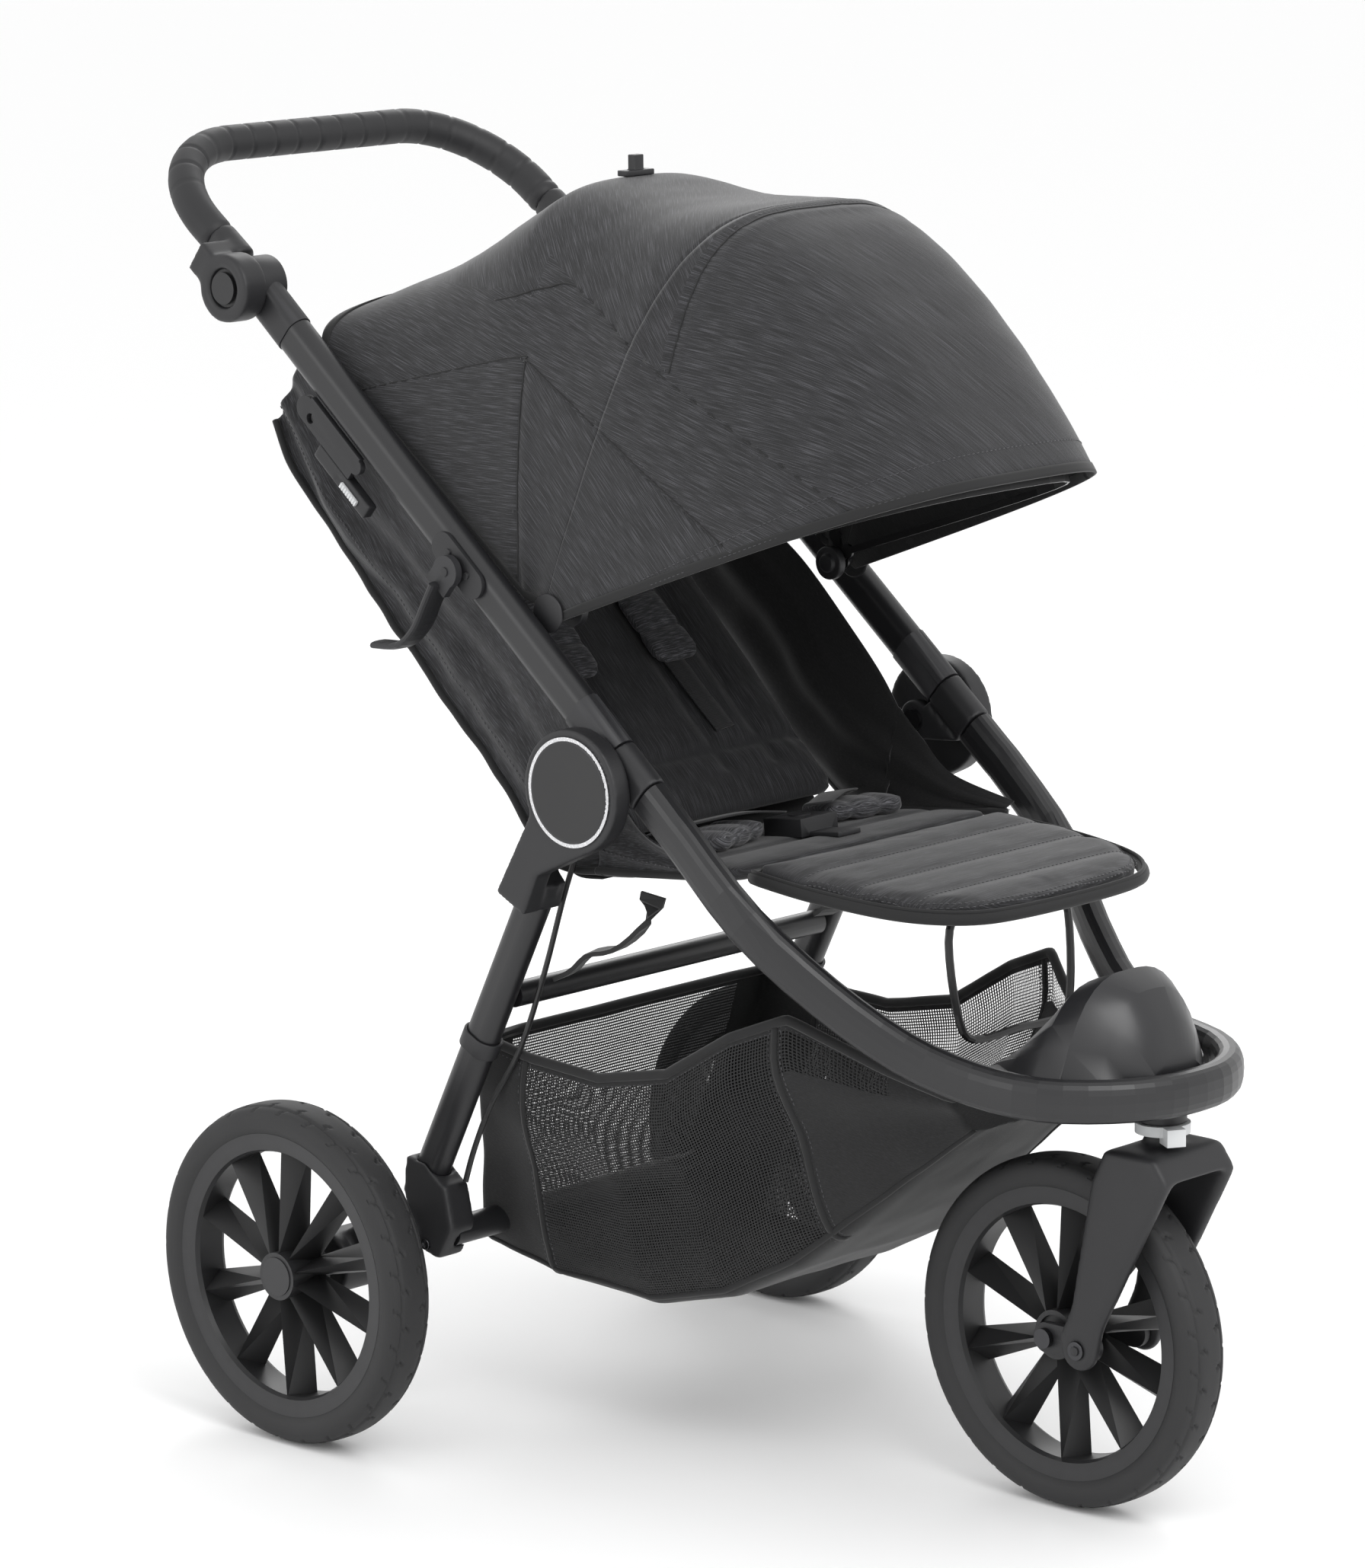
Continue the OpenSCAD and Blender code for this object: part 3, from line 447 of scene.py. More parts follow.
def tube(name, path, radius, finish, sides=8, closed=False, flat=1.0, normals=None):
    """A tube along a path. flat below 1 squeezes it across the given normals, as on a piping or a tape."""
    rings, total = [], len(path)
    for i, here in enumerate(path):
        ahead = path[(i + 1) % total] if closed or i < total - 1 else here
        behind = path[i - 1] if closed or i > 0 else here
        along = (ahead - behind).normalized()
        up = normals[i] if normals else (Vector((0, 0, 1)) if abs(along.z) < 0.9 else Vector((1, 0, 0)))
        side = along.cross(up).normalized()
        out = side.cross(along).normalized()
        for k in range(sides):
            turn = 2 * math.pi * k / sides
            rings.append(here + side * radius * math.cos(turn) + out * radius * flat * math.sin(turn))
    spans = total if closed else total - 1
    faces = [(i * sides + k, i * sides + (k + 1) % sides, (i + 1) % total * sides + (k + 1) % sides,
              (i + 1) % total * sides + k) for i in range(spans) for k in range(sides)]
    if not closed:
        faces += [tuple(range(sides - 1, -1, -1)), tuple((total - 1) * sides + k for k in range(sides))]
    made = new_piece(name, rings, faces, finish)
    outwards(made)
    return made


def outwards(piece):
    """Merges doubles and points every face outwards."""
    pick(piece)
    bpy.ops.object.mode_set(mode="EDIT")
    bpy.ops.mesh.select_all(action="SELECT")
    bpy.ops.mesh.remove_doubles(threshold=0.00002)
    bpy.ops.mesh.normals_make_consistent(inside=False)
    bpy.ops.object.mode_set(mode="OBJECT")


def joined(name, pieces):
    """Several meshes as one piece."""
    pick(pieces[0])
    for other in pieces[1:]:
        other.select_set(True)
    if len(pieces) > 1:
        bpy.ops.object.join()
    pieces[0].name = name
    return pieces[0]


def curve_through(points, steps=8):
    """A smooth line through a few chosen points."""
    ends = [points[0]] + list(points) + [points[-1]]
    line = []
    for a, b, c, d in zip(ends, ends[1:], ends[2:], ends[3:]):
        for k in range(steps):
            t = k / steps
            line.append(0.5 * ((2 * b) + (c - a) * t + (2 * a - 5 * b + 4 * c - d) * t * t
                               + (3 * b - a - 3 * c + d) * t * t * t))
    return line + [points[-1]]


print("the rear axle's line is at x =", round(AXLE_X, 2), "mm")

# %% [markdown]
# ## The canopy's shape
# A canopy is cloth pulled over wire bows, so each cross-section is an arch and the cloth sinks a little
# between two bows. Each hoop below has a foot, a crown and a squareness. A grid of points runs over all of
# them. It is built as two sheets that share the middle bow, because the visor folds back on its own joint.

# %% Hoops of the canopy
HALF_WIDTH = 188.0
HOOPS = [((-62, 930), (-80, 974), 3.0), ((176, 745), (131, 1083), 3.2), ((199, 737), (330, 1072), 3.4),
         ((206, 731), (448, 1004), 3.3), ((212, 727), (573, 861), 3.2)]


def hoop_at(u):
    """Foot, crown and squareness of the cloth at u, from 0 at the back to 4 at the hem."""
    flat = [[*foot, *crown, e] for foot, crown, e in HOOPS]
    if u <= 2:
        i = min(int(u), 1)
        values = [p + (q - p) * (u - i) for p, q in zip(flat[i], flat[i + 1])]
    else:
        t = (u - 2) / 2
        shares = [(1 - t) * (1 - 2 * t), 4 * t * (1 - t), t * (2 * t - 1)]
        values = [sum(s * p for s, p in zip(shares, ps)) for ps in zip(*flat[2:])]
    return Vector(values[:2]), Vector(values[2:4]), values[4]


def canopy_point(u, a):
    """The cloth's place at u along the stroller and at the angle a across it."""
    foot, crown, e = hoop_at(u)
    slack = 7.0 * math.sin(math.pi * (u % 1)) ** 2 if u < 2 else 0.0
    reach = (crown - foot).length
    rise = abs(math.sin(a)) ** (2 / e)
    across = math.copysign(abs(math.cos(a)) ** (2 / e), math.cos(a))
    place = foot + (crown - foot) * rise * (1 - slack * math.sin(a) / reach)
    return at(place.x, -(HALF_WIDTH - 0.2 * slack) * across, place.y)


def ripple(place, strength):
    """Slack cloth is never quite flat: a slow noise moves it in and out by a millimetre or so."""
    drawn = Vector((place.x * 16 + place.z * 9, place.y * 5, place.z * 12 - place.x * 7))
    return strength * MM * (noise.noise(drawn) + 0.4 * noise.noise(drawn * 2.7))



ACROSS = 128


def canopy_sheet(name, first, last, columns):
    points, lengths = [], []
    for j in range(columns + 1):
        u = first + (last - first) * j / columns
        row = [canopy_point(u, math.pi * k / ACROSS) for k in range(ACROSS + 1)]
        run, total = [0.0], 0.0
        for p, q in zip(row, row[1:]):
            total += math.hypot(q.y - p.y, q.z - p.z)
            run.append(total)
        points += row
        lengths += [(row[0].z + r, total + 2 * row[0].z) for r in run]
    width = ACROSS + 1
    faces = [(j * width + k, (j + 1) * width + k, (j + 1) * width + k + 1, j * width + k + 1)
             for j in range(columns) for k in range(ACROSS)]
    sheet = new_piece(name, points, faces, [melange, lining])
    height = sheet.data.attributes.new("height", "FLOAT", "POINT")
    height.data.foreach_set("value", [h for h, _ in lengths])
    whole = sheet.data.attributes.new("whole", "FLOAT", "POINT")
    whole.data.foreach_set("value", [w for _, w in lengths])
    return sheet


back_cloth = canopy_sheet("canopy_back_cloth", 0.0, 2.0, 60)
visor_cloth = canopy_sheet("canopy_visor_cloth", 2.0, 4.0, 60)
print("canopy sheets:", len(back_cloth.data.polygons) + len(visor_cloth.data.polygons), "faces")

# %% [markdown]
# ## The canopy's panels
# Five panels of the same weave are sewn together, each cut with its weft in another direction, and that is
# what makes them catch the light differently. Each seam is straight in the side view, so the sheets are
# bisected along planes, and each face then takes the UV direction of its own panel.

# %% Cut along the seams and lay out each panel's weft
REAR_SEAM = ((-62, 894), (146, 944))
LOW_SEAM = ((168, 945), (400, 808))
HIGH_SEAM = ((216, 1004), (520, 839))
ARC_SEAM = ((322, 944), (331, 1072))
UPRIGHT_SEAM = ((168, 700), (168, 946))


def side_of(line, x, z):
    """Above zero where the place lies over the line, or in front of an upright one."""
    (x0, z0), (x1, z1) = line
    return (x1 - x0) * (z - z0) - (z1 - z0) * (x - x0)


def cut_along(sheet, line):
    (x0, z0), (x1, z1) = line
    mesh = bmesh.new()
    mesh.from_mesh(sheet.data)
    bmesh.ops.bisect_plane(mesh, geom=mesh.verts[:] + mesh.edges[:] + mesh.faces[:], dist=1e-6,
                           plane_co=at(x0, 0, z0), plane_no=Vector((z0 - z1, 0, x1 - x0)).normalized())
    mesh.to_mesh(sheet.data)
    mesh.free()


def panel_of(x, z):
    if side_of(ARC_SEAM, x, z) < 0 and side_of(HIGH_SEAM, x, z) > 0:
        return "front"
    if x < 168:
        if side_of(REAR_SEAM, x, z) < 0:
            return "rear_side"
        return "band" if z < 998 else "top"
    if side_of(LOW_SEAM, x, z) < 0:
        return "low_side"
    return "top" if side_of(HIGH_SEAM, x, z) > 0 else "band"


WEFT = {"rear_side": 0, "low_side": 45, "band": 17, "top": 48, "front": 6}
for sheet in (back_cloth, visor_cloth):
    for line in (REAR_SEAM, LOW_SEAM, HIGH_SEAM, ARC_SEAM, UPRIGHT_SEAM):
        cut_along(sheet, line)
    mesh = sheet.data
    layer = mesh.uv_layers.new(name="UVMap")
    heights = [v.value for v in mesh.attributes["height"].data]
    wholes = [v.value for v in mesh.attributes["whole"].data]
    for face in mesh.polygons:
        x, z = face.center.x / MM - AXLE_X, face.center.z / MM
        panel = panel_of(x, z)
        turn = math.radians(WEFT[panel])
        for loop in face.loop_indices:
            v = mesh.loops[loop].vertex_index
            place, up = mesh.vertices[v].co, heights[v]
            if panel not in ("top", "front") and face.center.y > 0:
                up = wholes[v] - up
            layer.data[loop].uv = (place.x * math.cos(turn) - up * math.sin(turn) + 0.37 * WEFT[panel],
                                   place.x * math.sin(turn) + up * math.cos(turn))
print("five panels on each side")

# %% [markdown]
# ## Seams, stitches and hem
# At each seam the edges of two panels are turned inside and a thread pulls them down, so a seam is a narrow
# valley with a soft ridge beside it. The vertices near a seam sink by a millimetre. A cord of piping lies in
# the valley, and a row of stitches runs beside it. Rays shot at the cloth find where these lie on it.

# %% Find seam lines on the cloth
def cloth_tree(sheets):
    points, faces = [], []
    for sheet in sheets:
        start = len(points)
        points += [v.co.copy() for v in sheet.data.vertices]
        faces += [[start + i for i in f.vertices] for f in sheet.data.polygons]
    return BVHTree.FromPolygons(points, faces)


canopy_tree = cloth_tree([back_cloth, visor_cloth])


def on_side(line, side, steps=40):
    """Places and normals on the canopy's side under a line of the side view."""
    places = curve_through([Vector((x, z)) for x, z in line], max(2, steps // (len(line) - 1)))
    found = []
    for p in places:
        hit, normal, _, _ = canopy_tree.ray_cast(at(p.x, side * 400, p.y), Vector((0, -side, 0)))
        if hit and hit.y * side > 0.05:
            found.append((hit, normal if normal.y * side > 0 else -normal))
    return found


def over_top(foot, crown, low_angle=20, steps=80):
    """Places and normals where a leaning plane crosses the canopy's top from side to side."""
    found = []
    for k in range(steps + 1):
        turn = math.radians(low_angle + (180 - 2 * low_angle) * k / steps)
        aim = at((foot[0] + crown[0]) / 2, 0, foot[1] - 60)
        slope = Vector(((crown[0] - foot[0]) / (crown[1] - foot[1]), 0, 1)).normalized()
        away = (Vector((0, -1, 0)) * math.cos(turn) + slope * math.sin(turn)).normalized()
        hit, normal, _, _ = canopy_tree.ray_cast(aim + away * 0.6, -away)
        if hit:
            found.append((hit, normal if normal.dot(away) > 0 else -normal))
    return found


seams = []
for side in (-1, 1):
    seams.append(on_side([(168, 730), (168, 945)], side))
    seams.append(on_side([(-58, 896), (146, 944), (168, 945)], side))
    seams.append(on_side([(168, 945), (279, 883), (398, 810)], side))
    seams.append(on_side([(120, 990), (147, 996), (176, 1004), (216, 1004), (322, 944),
                          (429, 887), (514, 842)], side))
seams.append(over_top((322, 944), (331, 1072)))
seam_points = [p for seam in seams for p, _ in seam]
print(len(seams), "seams,", len(seam_points), "points")

# %% Sink the cloth along the seams and let it ripple

seam_finder = KDTree(len(seam_points))
for i, p in enumerate(seam_points):
    seam_finder.insert(p, i)
seam_finder.balance()
for sheet in (back_cloth, visor_cloth):
    outward = [v.normal.copy() for v in sheet.data.vertices]
    for v, normal in zip(sheet.data.vertices, outward):
        if normal.dot(v.co - at(200, 0, 850)) < 0:
            normal.negate()
        distance = seam_finder.find(v.co)[2] / MM
        sink = -1.2 * math.exp(-(distance / 3.5) ** 2) + 0.7 * math.exp(-((distance - 9) / 5) ** 2)
        edge = min(1, (v.co.z / MM - 720) / 60)
        v.co += normal * (sink * MM + ripple(v.co, 1.5) * max(0, edge))
canopy_tree = cloth_tree([back_cloth, visor_cloth])
print("cloth sinks along", len(seams), "seams")

# %% Piping, stitches and the hem
def stitch_row(name, line, offset, finish=thread, length=3.2, gap=2.0, radius=0.45):
    """Short raised stitches beside a line of places and normals, set off sideways by a distance."""
    made, spare = [], 0.0
    for (p, n), (q, m) in zip(line, line[1:]):
        step = q - p
        if step.length < 1e-6:
            continue
        side = step.cross(n).normalized() * offset * MM
        here = spare
        while here < step.length / MM:
            a = p + step * (here * MM / step.length) + side + n * 0.3 * MM
            made.append((a, step.normalized(), n))
            here += length + gap
        spare = here - step.length / MM
    points, faces = [], []
    for a, along, n in made:
        out = along.cross(n).normalized()
        start = len(points)
        for s, r in ((0, 0.35), (0.25, 1.0), (0.75, 1.0), (1, 0.35)):
            for turn in range(4):
                angle = math.pi * (turn / 2 + 0.25)
                points.append(a + along * s * length * MM
                              + (out * math.cos(angle) + n * math.sin(angle)) * r * radius * MM)
        faces += [(start + 4 * i + k, start + 4 * i + (k + 1) % 4, start + 4 * i + 4 + (k + 1) % 4,
                   start + 4 * i + 4 + k) for i in range(3) for k in range(4)]
        faces += [(start + 3, start + 2, start + 1, start), (start + 12, start + 13, start + 14, start + 15)]
    return new_piece(name, points, faces, finish)


def along_cloth(seam):
    """The same seam again on the sunken cloth."""
    again = []
    for p, n in seam:
        hit, normal, _, _ = canopy_tree.find_nearest(p)
        again.append((hit, n))
    return again


seams = [along_cloth(seam) for seam in seams]
piping, stitches = {"back": [], "visor": []}, {"back": [], "visor": []}
middle_plane = ((199, 737), (330, 1072))
for i, seam in enumerate(seams):
    for part in ("back", "visor"):
        kept = [(p, n) for p, n in seam
                if (side_of(middle_plane, p.x / MM - AXLE_X, p.z / MM) >= 0) == (part == "back")]
        if i == len(seams) - 1:
            kept = seam if part == "back" else []
        if len(kept) < 3:
            continue
        piping[part].append(tube(f"piping_{part}_{i}", [p + n * 0.1 * MM for p, n in kept], 0.9 * MM, binding,
                                 sides=6, normals=[n for _, n in kept]))
        stitches[part].append(stitch_row(f"stitches_{part}_{i}", kept, 4.5 if i % 2 else -4.5))
print("piping and stitches on", sum(len(v) for v in piping.values()), "runs")

# %% [markdown]
# The hem is a tape folded over the raw edge and sewn through, with a stiff wire inside at the front. Its
# path is the sheet's open edge: the feet on both sides and the front arch.

# %% Hem tape along the open edges
def hem_path(first, last, angle):
    return [canopy_point(first + (last - first) * j / 40, angle) for j in range(41)]


def tape(name, path, depth, inward, thickness=1.3, finish=binding):
    """A folded tape: a flat rounded band that reaches from the edge into the cloth by its depth."""
    points, faces, sides = [], [], 8
    for p, i in zip(path, inward):
        ahead = path[min(path.index(p) + 1, len(path) - 1)] - path[max(path.index(p) - 1, 0)]
        out = ahead.cross(i).normalized()
        for k in range(sides):
            turn = 2 * math.pi * (k + 0.5) / sides
            points.append(p + i * (depth / 2) * MM * (0.9 - 1.08 * math.cos(turn)) + out * thickness * MM
                          * (1 if math.sin(turn) > 0 else -1) * min(1, 0.5 + abs(math.sin(turn))))
    n = len(path)
    faces = [(i * sides + k, i * sides + (k + 1) % sides, (i + 1) * sides + (k + 1) % sides,
              (i + 1) * sides + k) for i in range(n - 1) for k in range(sides)]
    faces += [tuple(range(sides - 1, -1, -1)), tuple((n - 1) * sides + k for k in range(sides))]
    made = new_piece(name, points, faces, finish)
    outwards(made)
    return made


front_edge = [canopy_point(4.0, math.pi * k / 120) for k in range(121)]
front_inward = [(canopy_point(3.9, math.pi * k / 120) - p).normalized() for k, p in enumerate(front_edge)]
rear_edge = [canopy_point(0.0, math.pi * k / 120) for k in range(121)]
rear_inward = [(canopy_point(0.06, math.pi * k / 120) - p).normalized() for k, p in enumerate(rear_edge)]
visor_hem = [tape("visor_hem_front", front_edge, 9, front_inward)]
back_hem = [tape("back_hem_rear", rear_edge, 9, rear_inward)]
for angle, inner in ((0.0, 0.12), (math.pi, math.pi - 0.12)):
    for first, last, kept in ((0.0, 2.0, back_hem), (2.0, 4.0, visor_hem)):
        path = hem_path(first, last, angle)
        lift = [(canopy_point(first + (last - first) * j / 40, inner) - p).normalized()
                for j, p in enumerate(path)]
        kept.append(tape(f"side_hem_{len(back_hem) + len(visor_hem)}", path, 8, lift))
hem_line = []
for k in range(3, 118):
    p, q = canopy_point(3.86, math.pi * k / 120), canopy_point(3.86, math.pi * (k + 1) / 120)
    hit, normal, _, _ = canopy_tree.find_nearest(p)
    outside = hit - at(330, 0, 800)
    hem_line.append((hit, normal if normal.dot(outside) > 0 else -normal))
hem_stitches = [stitch_row("hem_stitches", hem_line, 0), stitch_row("hem_edge_stitches", [
    (canopy_tree.find_nearest(canopy_point(3.965, math.pi * k / 120))[0], n)
    for k, (_, n) in zip(range(3, 118), hem_line)], 0)]
print("hem tapes and stitches made")

# %% Thickness and trims
for sheet in (back_cloth, visor_cloth):
    solid = sheet.modifiers.new("cloth_and_lining", "SOLIDIFY")
    solid.thickness = 1.6 * MM
    solid.offset = -1
    solid.material_offset = 1
    solid.material_offset_rim = 1
    apply_modifiers(sheet)
back_trim = joined("canopy_back_piping", piping["back"] + back_hem)
back_thread = joined("canopy_back_stitches", stitches["back"])
visor_trim = joined("canopy_visor_piping", piping["visor"] + visor_hem)
visor_thread = joined("canopy_visor_stitches", stitches["visor"] + hem_stitches)
for piece in (back_cloth, back_trim, back_thread):
    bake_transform(piece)
for piece in (visor_cloth, visor_trim, visor_thread):
    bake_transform(piece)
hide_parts("canopy_rear_panel", "canopy_mid_panel")
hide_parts("canopy_front_panel")


# %% [markdown]
# ## Rounded mouldings
# A drawing of solids has sharp edges, but no moulded or cast part does: the plastic would crack there and
# the tool could not be made. Each housing is copied, its triangles are merged into clean faces, and a bevel
# of one to three millimetres runs round every edge. The copy stands for the drawn piece.

# %% Round every edge of a moulding
BODY_OF = {node: body for body, nodes in frame["record"]["behaviour"]["bodies"].items() for node in nodes}


def rounded(node_name, width, segments=3, finish=None):
    """A copy of a drawn piece with clean faces and rounded edges, which replaces it."""
    source = frame["nodes"][node_name]
    piece = bpy.data.objects.new(node_name + "_moulding", source.data.copy())
    bpy.context.scene.collection.objects.link(piece)
    piece.matrix_world = source.matrix_world.copy()
    pick(piece)
    bpy.ops.object.transform_apply(location=True, rotation=True, scale=True)
    bpy.ops.object.mode_set(mode="EDIT")
    bpy.ops.mesh.select_all(action="SELECT")
    bpy.ops.mesh.remove_doubles(threshold=0.00002)
    bpy.ops.mesh.dissolve_limited(angle_limit=math.radians(1.5))
    bpy.ops.object.mode_set(mode="OBJECT")
    bevel = piece.modifiers.new("rounded_edges", "BEVEL")
    bevel.width = width * MM
    bevel.segments = segments
    bevel.limit_method = "ANGLE"
    bevel.angle_limit = math.radians(28)
    bevel.use_clamp_overlap = True
    bevel.harden_normals = False
    apply_modifiers(piece)
    bpy.ops.object.shade_smooth_by_angle(angle=math.radians(35))
    if finish:
        piece.data.materials.clear()
        piece.data.materials.append(finish)
    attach(piece, BODY_OF[node_name])
    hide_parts(node_name)
    return piece


roundings = {"upper_knuckles": 1.2, "lower_knuckles": 1.2, "handle_knuckles": 1.5,
             "handle_joint_housings": 2.2,
             "leg_heads": 2.5, "leg_collars": 1.0, "axle_housings": 3.0, "front_fork": 3.5,
             "suspension_arms": 1.5, "swivel_housing": 1.5, "swivel_lock_ring": 1.0, "fold_lock_plate": 1.2,
             "fold_lock_body": 2.0, "brake_lever_bracket": 1.0, "canopy_clip": 1.2, "canopy_mounts": 1.5,
             "harness_buckle": 2.0, "foot_plate": 1.5}
for node_name, width in roundings.items():
    made = rounded(node_name, width)
    print(made.name, len(made.data.polygons), "faces")

# %% [markdown]
# ## The hinge discs
# A dark dished disc sits in a bright knurled ring on the outside of each fold hinge. The disc is a circle
# that is filled, inset and pushed in, ring after ring, as it would be drawn by hand.

# %% Hinge discs
def disc_cover(name, side):
    low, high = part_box("hinge_badges")
    middle = Vector(((low[0] + high[0]) / 2, 0, (low[2] + high[2]) / 2))
    face_y = low[1] if side < 0 else high[1]
    clear_selection()
    bpy.ops.mesh.primitive_cylinder_add(vertices=96, radius=43.2 * MM, depth=1.2 * MM,
                                        location=(middle.x, face_y - side * 0.2 * MM, middle.z),
                                        rotation=(math.radians(90), 0, 0))
    cover = pick(bpy.context.object)
    cover.name = name
    bpy.ops.object.transform_apply(location=True, rotation=True, scale=True)
    bpy.ops.object.mode_set(mode="EDIT")
    bpy.ops.mesh.select_mode(type="FACE")
    bpy.ops.mesh.select_all(action="DESELECT")
    bpy.ops.object.mode_set(mode="OBJECT")
    for face in cover.data.polygons:
        face.select = face.normal.y * side > 0.9
    bpy.ops.object.mode_set(mode="EDIT")
    for inset, depth in ((1.6, 0.5), (1.2, 0.0), (30.0, -0.9)):
        bpy.ops.mesh.inset(thickness=inset * MM, depth=depth * MM)
    bpy.ops.object.mode_set(mode="OBJECT")
    cover.data.materials.append(dark_button)
    bpy.ops.object.shade_smooth_by_angle(angle=math.radians(30))
    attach(cover, "rear_frame")
    return cover


for name, side in (("disc_cover_right", -1), ("disc_cover_left", 1)):
    print(disc_cover(name, side).name, "in its ring")

# %% [markdown]
# ## Tyres with their tread
# The tyre's section is spun round the axle, and its vertices are then pushed in where the tread is cut: one
# groove near each shoulder, joined by 28 zigzag sipes, and a smooth band in the middle and on the walls.

# %% Tread the tyres
TREAD_REPEATS = 28
RIM_R = 125.4


def tread_depth(turn, y):
    """How deep the tread is cut, in millimetres, at a part of a turn and a distance from the middle."""
    groove = max(0.0, 1 - abs(abs(y) - 14.0) / 1.3)
    place = (turn * TREAD_REPEATS) % 1
    reach = (abs(y) - 6.0) / 15.0
    if not 0 <= reach <= 1:
        return 1.6 * groove
    zigzag = 0.30 + 0.34 * reach + (0.22 if reach > 0.52 else 0.0) - (0.10 if 0.30 < reach < 0.52 else 0.0)
    shift = 0.5 if y > 0 else 0.0
    apart = abs((place + shift - zigzag + 0.5) % 1 - 0.5) / TREAD_REPEATS * 2 * math.pi * 150
    return 1.7 * max(groove, max(0.0, min(1.0, 1.9 - apart)))


def treaded_tyre(name, body):
    low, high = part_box(name)
    hub = Vector(((low[0] + high[0]) / 2, (low[1] + high[1]) / 2, (low[2] + high[2]) / 2))
    half = [(RIM_R - 4, 15), (RIM_R, 19), (RIM_R + 5, 22), (RIM_R + 11, 23), (RIM_R + 16, 22.3),
            (RIM_R + 20, 20), (147.6, 16.4), (149.3, 11), (149.9, 6), (150, 0)]
    fine = curve_through([Vector((y, r)) for r, y in half], 5)
    section = [(v.x, v.y) for v in fine] + [(-v.x, v.y) for v in reversed(fine[:-1])]
    section += [(-10, RIM_R - 5.5), (10, RIM_R - 5.5)]
    mesh = bpy.data.meshes.new(name + "_tread")
    mesh.from_pydata([(0, y * MM, r * MM) for y, r in section],
                     [(i, (i + 1) % len(section)) for i in range(len(section))], [])
    tyre = bpy.data.objects.new(name + "_tread", mesh)
    bpy.context.scene.collection.objects.link(tyre)
    pick(tyre)
    bpy.ops.object.mode_set(mode="EDIT")
    bpy.ops.mesh.select_all(action="SELECT")
    bpy.ops.mesh.spin(steps=TREAD_REPEATS * 16, angle=2 * math.pi, center=(0, 0, 0), axis=(0, 1, 0))
    bpy.ops.mesh.select_all(action="SELECT")
    bpy.ops.mesh.remove_doubles(threshold=0.00005)
    bpy.ops.mesh.normals_make_consistent(inside=False)
    bpy.ops.object.mode_set(mode="OBJECT")
    for v in tyre.data.vertices:
        radius = math.hypot(v.co.x, v.co.z)
        if radius > 140 * MM:
            turn = math.atan2(v.co.z, v.co.x) / (2 * math.pi)
            cut = tread_depth(turn, v.co.y / MM) * min(1, (radius / MM - 140) / 4)
            v.co.x *= 1 - cut * MM / radius
            v.co.z *= 1 - cut * MM / radius
        v.co += hub
    tyre.data.materials.append(tyre_rubber)
    bpy.ops.object.shade_smooth_by_angle(angle=math.radians(50))
    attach(tyre, body)
    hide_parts(name)
    return tyre


for name, body in (("front_tyre", "front_wheel"), ("right_tyre", "right_wheel"), ("left_tyre", "left_wheel")):
    print(name, len(treaded_tyre(name, body).data.polygons), "faces")

# %% [markdown]
# ## The push bar's sleeve
# The foam sleeve has a shallow ring every few centimetres, pressed in so that the hand doesn't slide. The
# sleeve is a round section swept along the bar's path, and its radius dips by a millimetre at each ring.

# %% Grooved grip
SLOPE = math.atan2(1096.8 - 989.75, 273.9 - 129.25)
pivot = at(-129.25, 0, 989.75)
bar_way = Vector((-math.cos(SLOPE), 0, math.sin(SLOPE)))
bar_reach = math.hypot(1096.8 - 989.75, 273.9 - 129.25)


def bar_place(along, y):
    return pivot + bar_way * along * MM + Vector((0, y * MM, 0))


half_bar = [bar_place(61 + 2 * k, -203) for k in range(int((bar_reach - 161) / 2))]
half_bar += [bar_place(bar_reach - 100 * (1 - math.sin(a)), -203 + 100 * (1 - math.cos(a)))
             for a in [math.radians(1.5 * k) for k in range(61)]]
half_bar += [bar_place(bar_reach, -103 + 2.0 * k) for k in range(1, 52)]
sleeve_path = half_bar + [Vector((p.x, -p.y, p.z)) for p in reversed(half_bar[:-1])]
sides, points, run = 28, [], 0.0
for i, p in enumerate(sleeve_path):
    ahead, behind = sleeve_path[min(i + 1, len(sleeve_path) - 1)], sleeve_path[max(i - 1, 0)]
    run += (p - sleeve_path[i - 1]).length / MM if i else 0
    along = (ahead - behind).normalized()
    up = bar_way.cross(Vector((0, 1, 0))).normalized()
    side = along.cross(up).normalized()
    ring = abs((run + 8) % 27 - 13.5)
    in_rings = 60 < run < 900
    radius = 15.9 - (1.3 * math.exp(-(ring / 1.3) ** 2) if in_rings else 0)
    radius -= 3.0 * max(0, 1 - min(i, len(sleeve_path) - 1 - i) / 2.5)
    for k in range(sides):
        turn = 2 * math.pi * k / sides
        points.append(p + (side * math.cos(turn) + up * math.sin(turn)) * radius * MM)
count = len(sleeve_path)
faces = [(i * sides + k, i * sides + (k + 1) % sides, (i + 1) * sides + (k + 1) % sides, (i + 1) * sides + k)
         for i in range(count - 1) for k in range(sides)]
faces += [tuple(range(sides)), tuple((count - 1) * sides + k for k in range(sides))]
grip = new_piece("grooved_grip", points, faces, grip_foam)
outwards(grip)
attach(grip, "handlebar")
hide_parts("handlebar_grip")
print("the sleeve is", round(run), "mm long")

# %% [markdown]
# ## Padded cushions
# A seat pad is two cloths sewn round their edge over a sheet of foam. The foam pushes the middle out and
# the seam pulls the edge in, and each sewn channel is a valley across the pad. A flat block of the pad's
# outline is remeshed, blown up by Blender's cloth with a little pressure, and then pressed in along the
# channels.

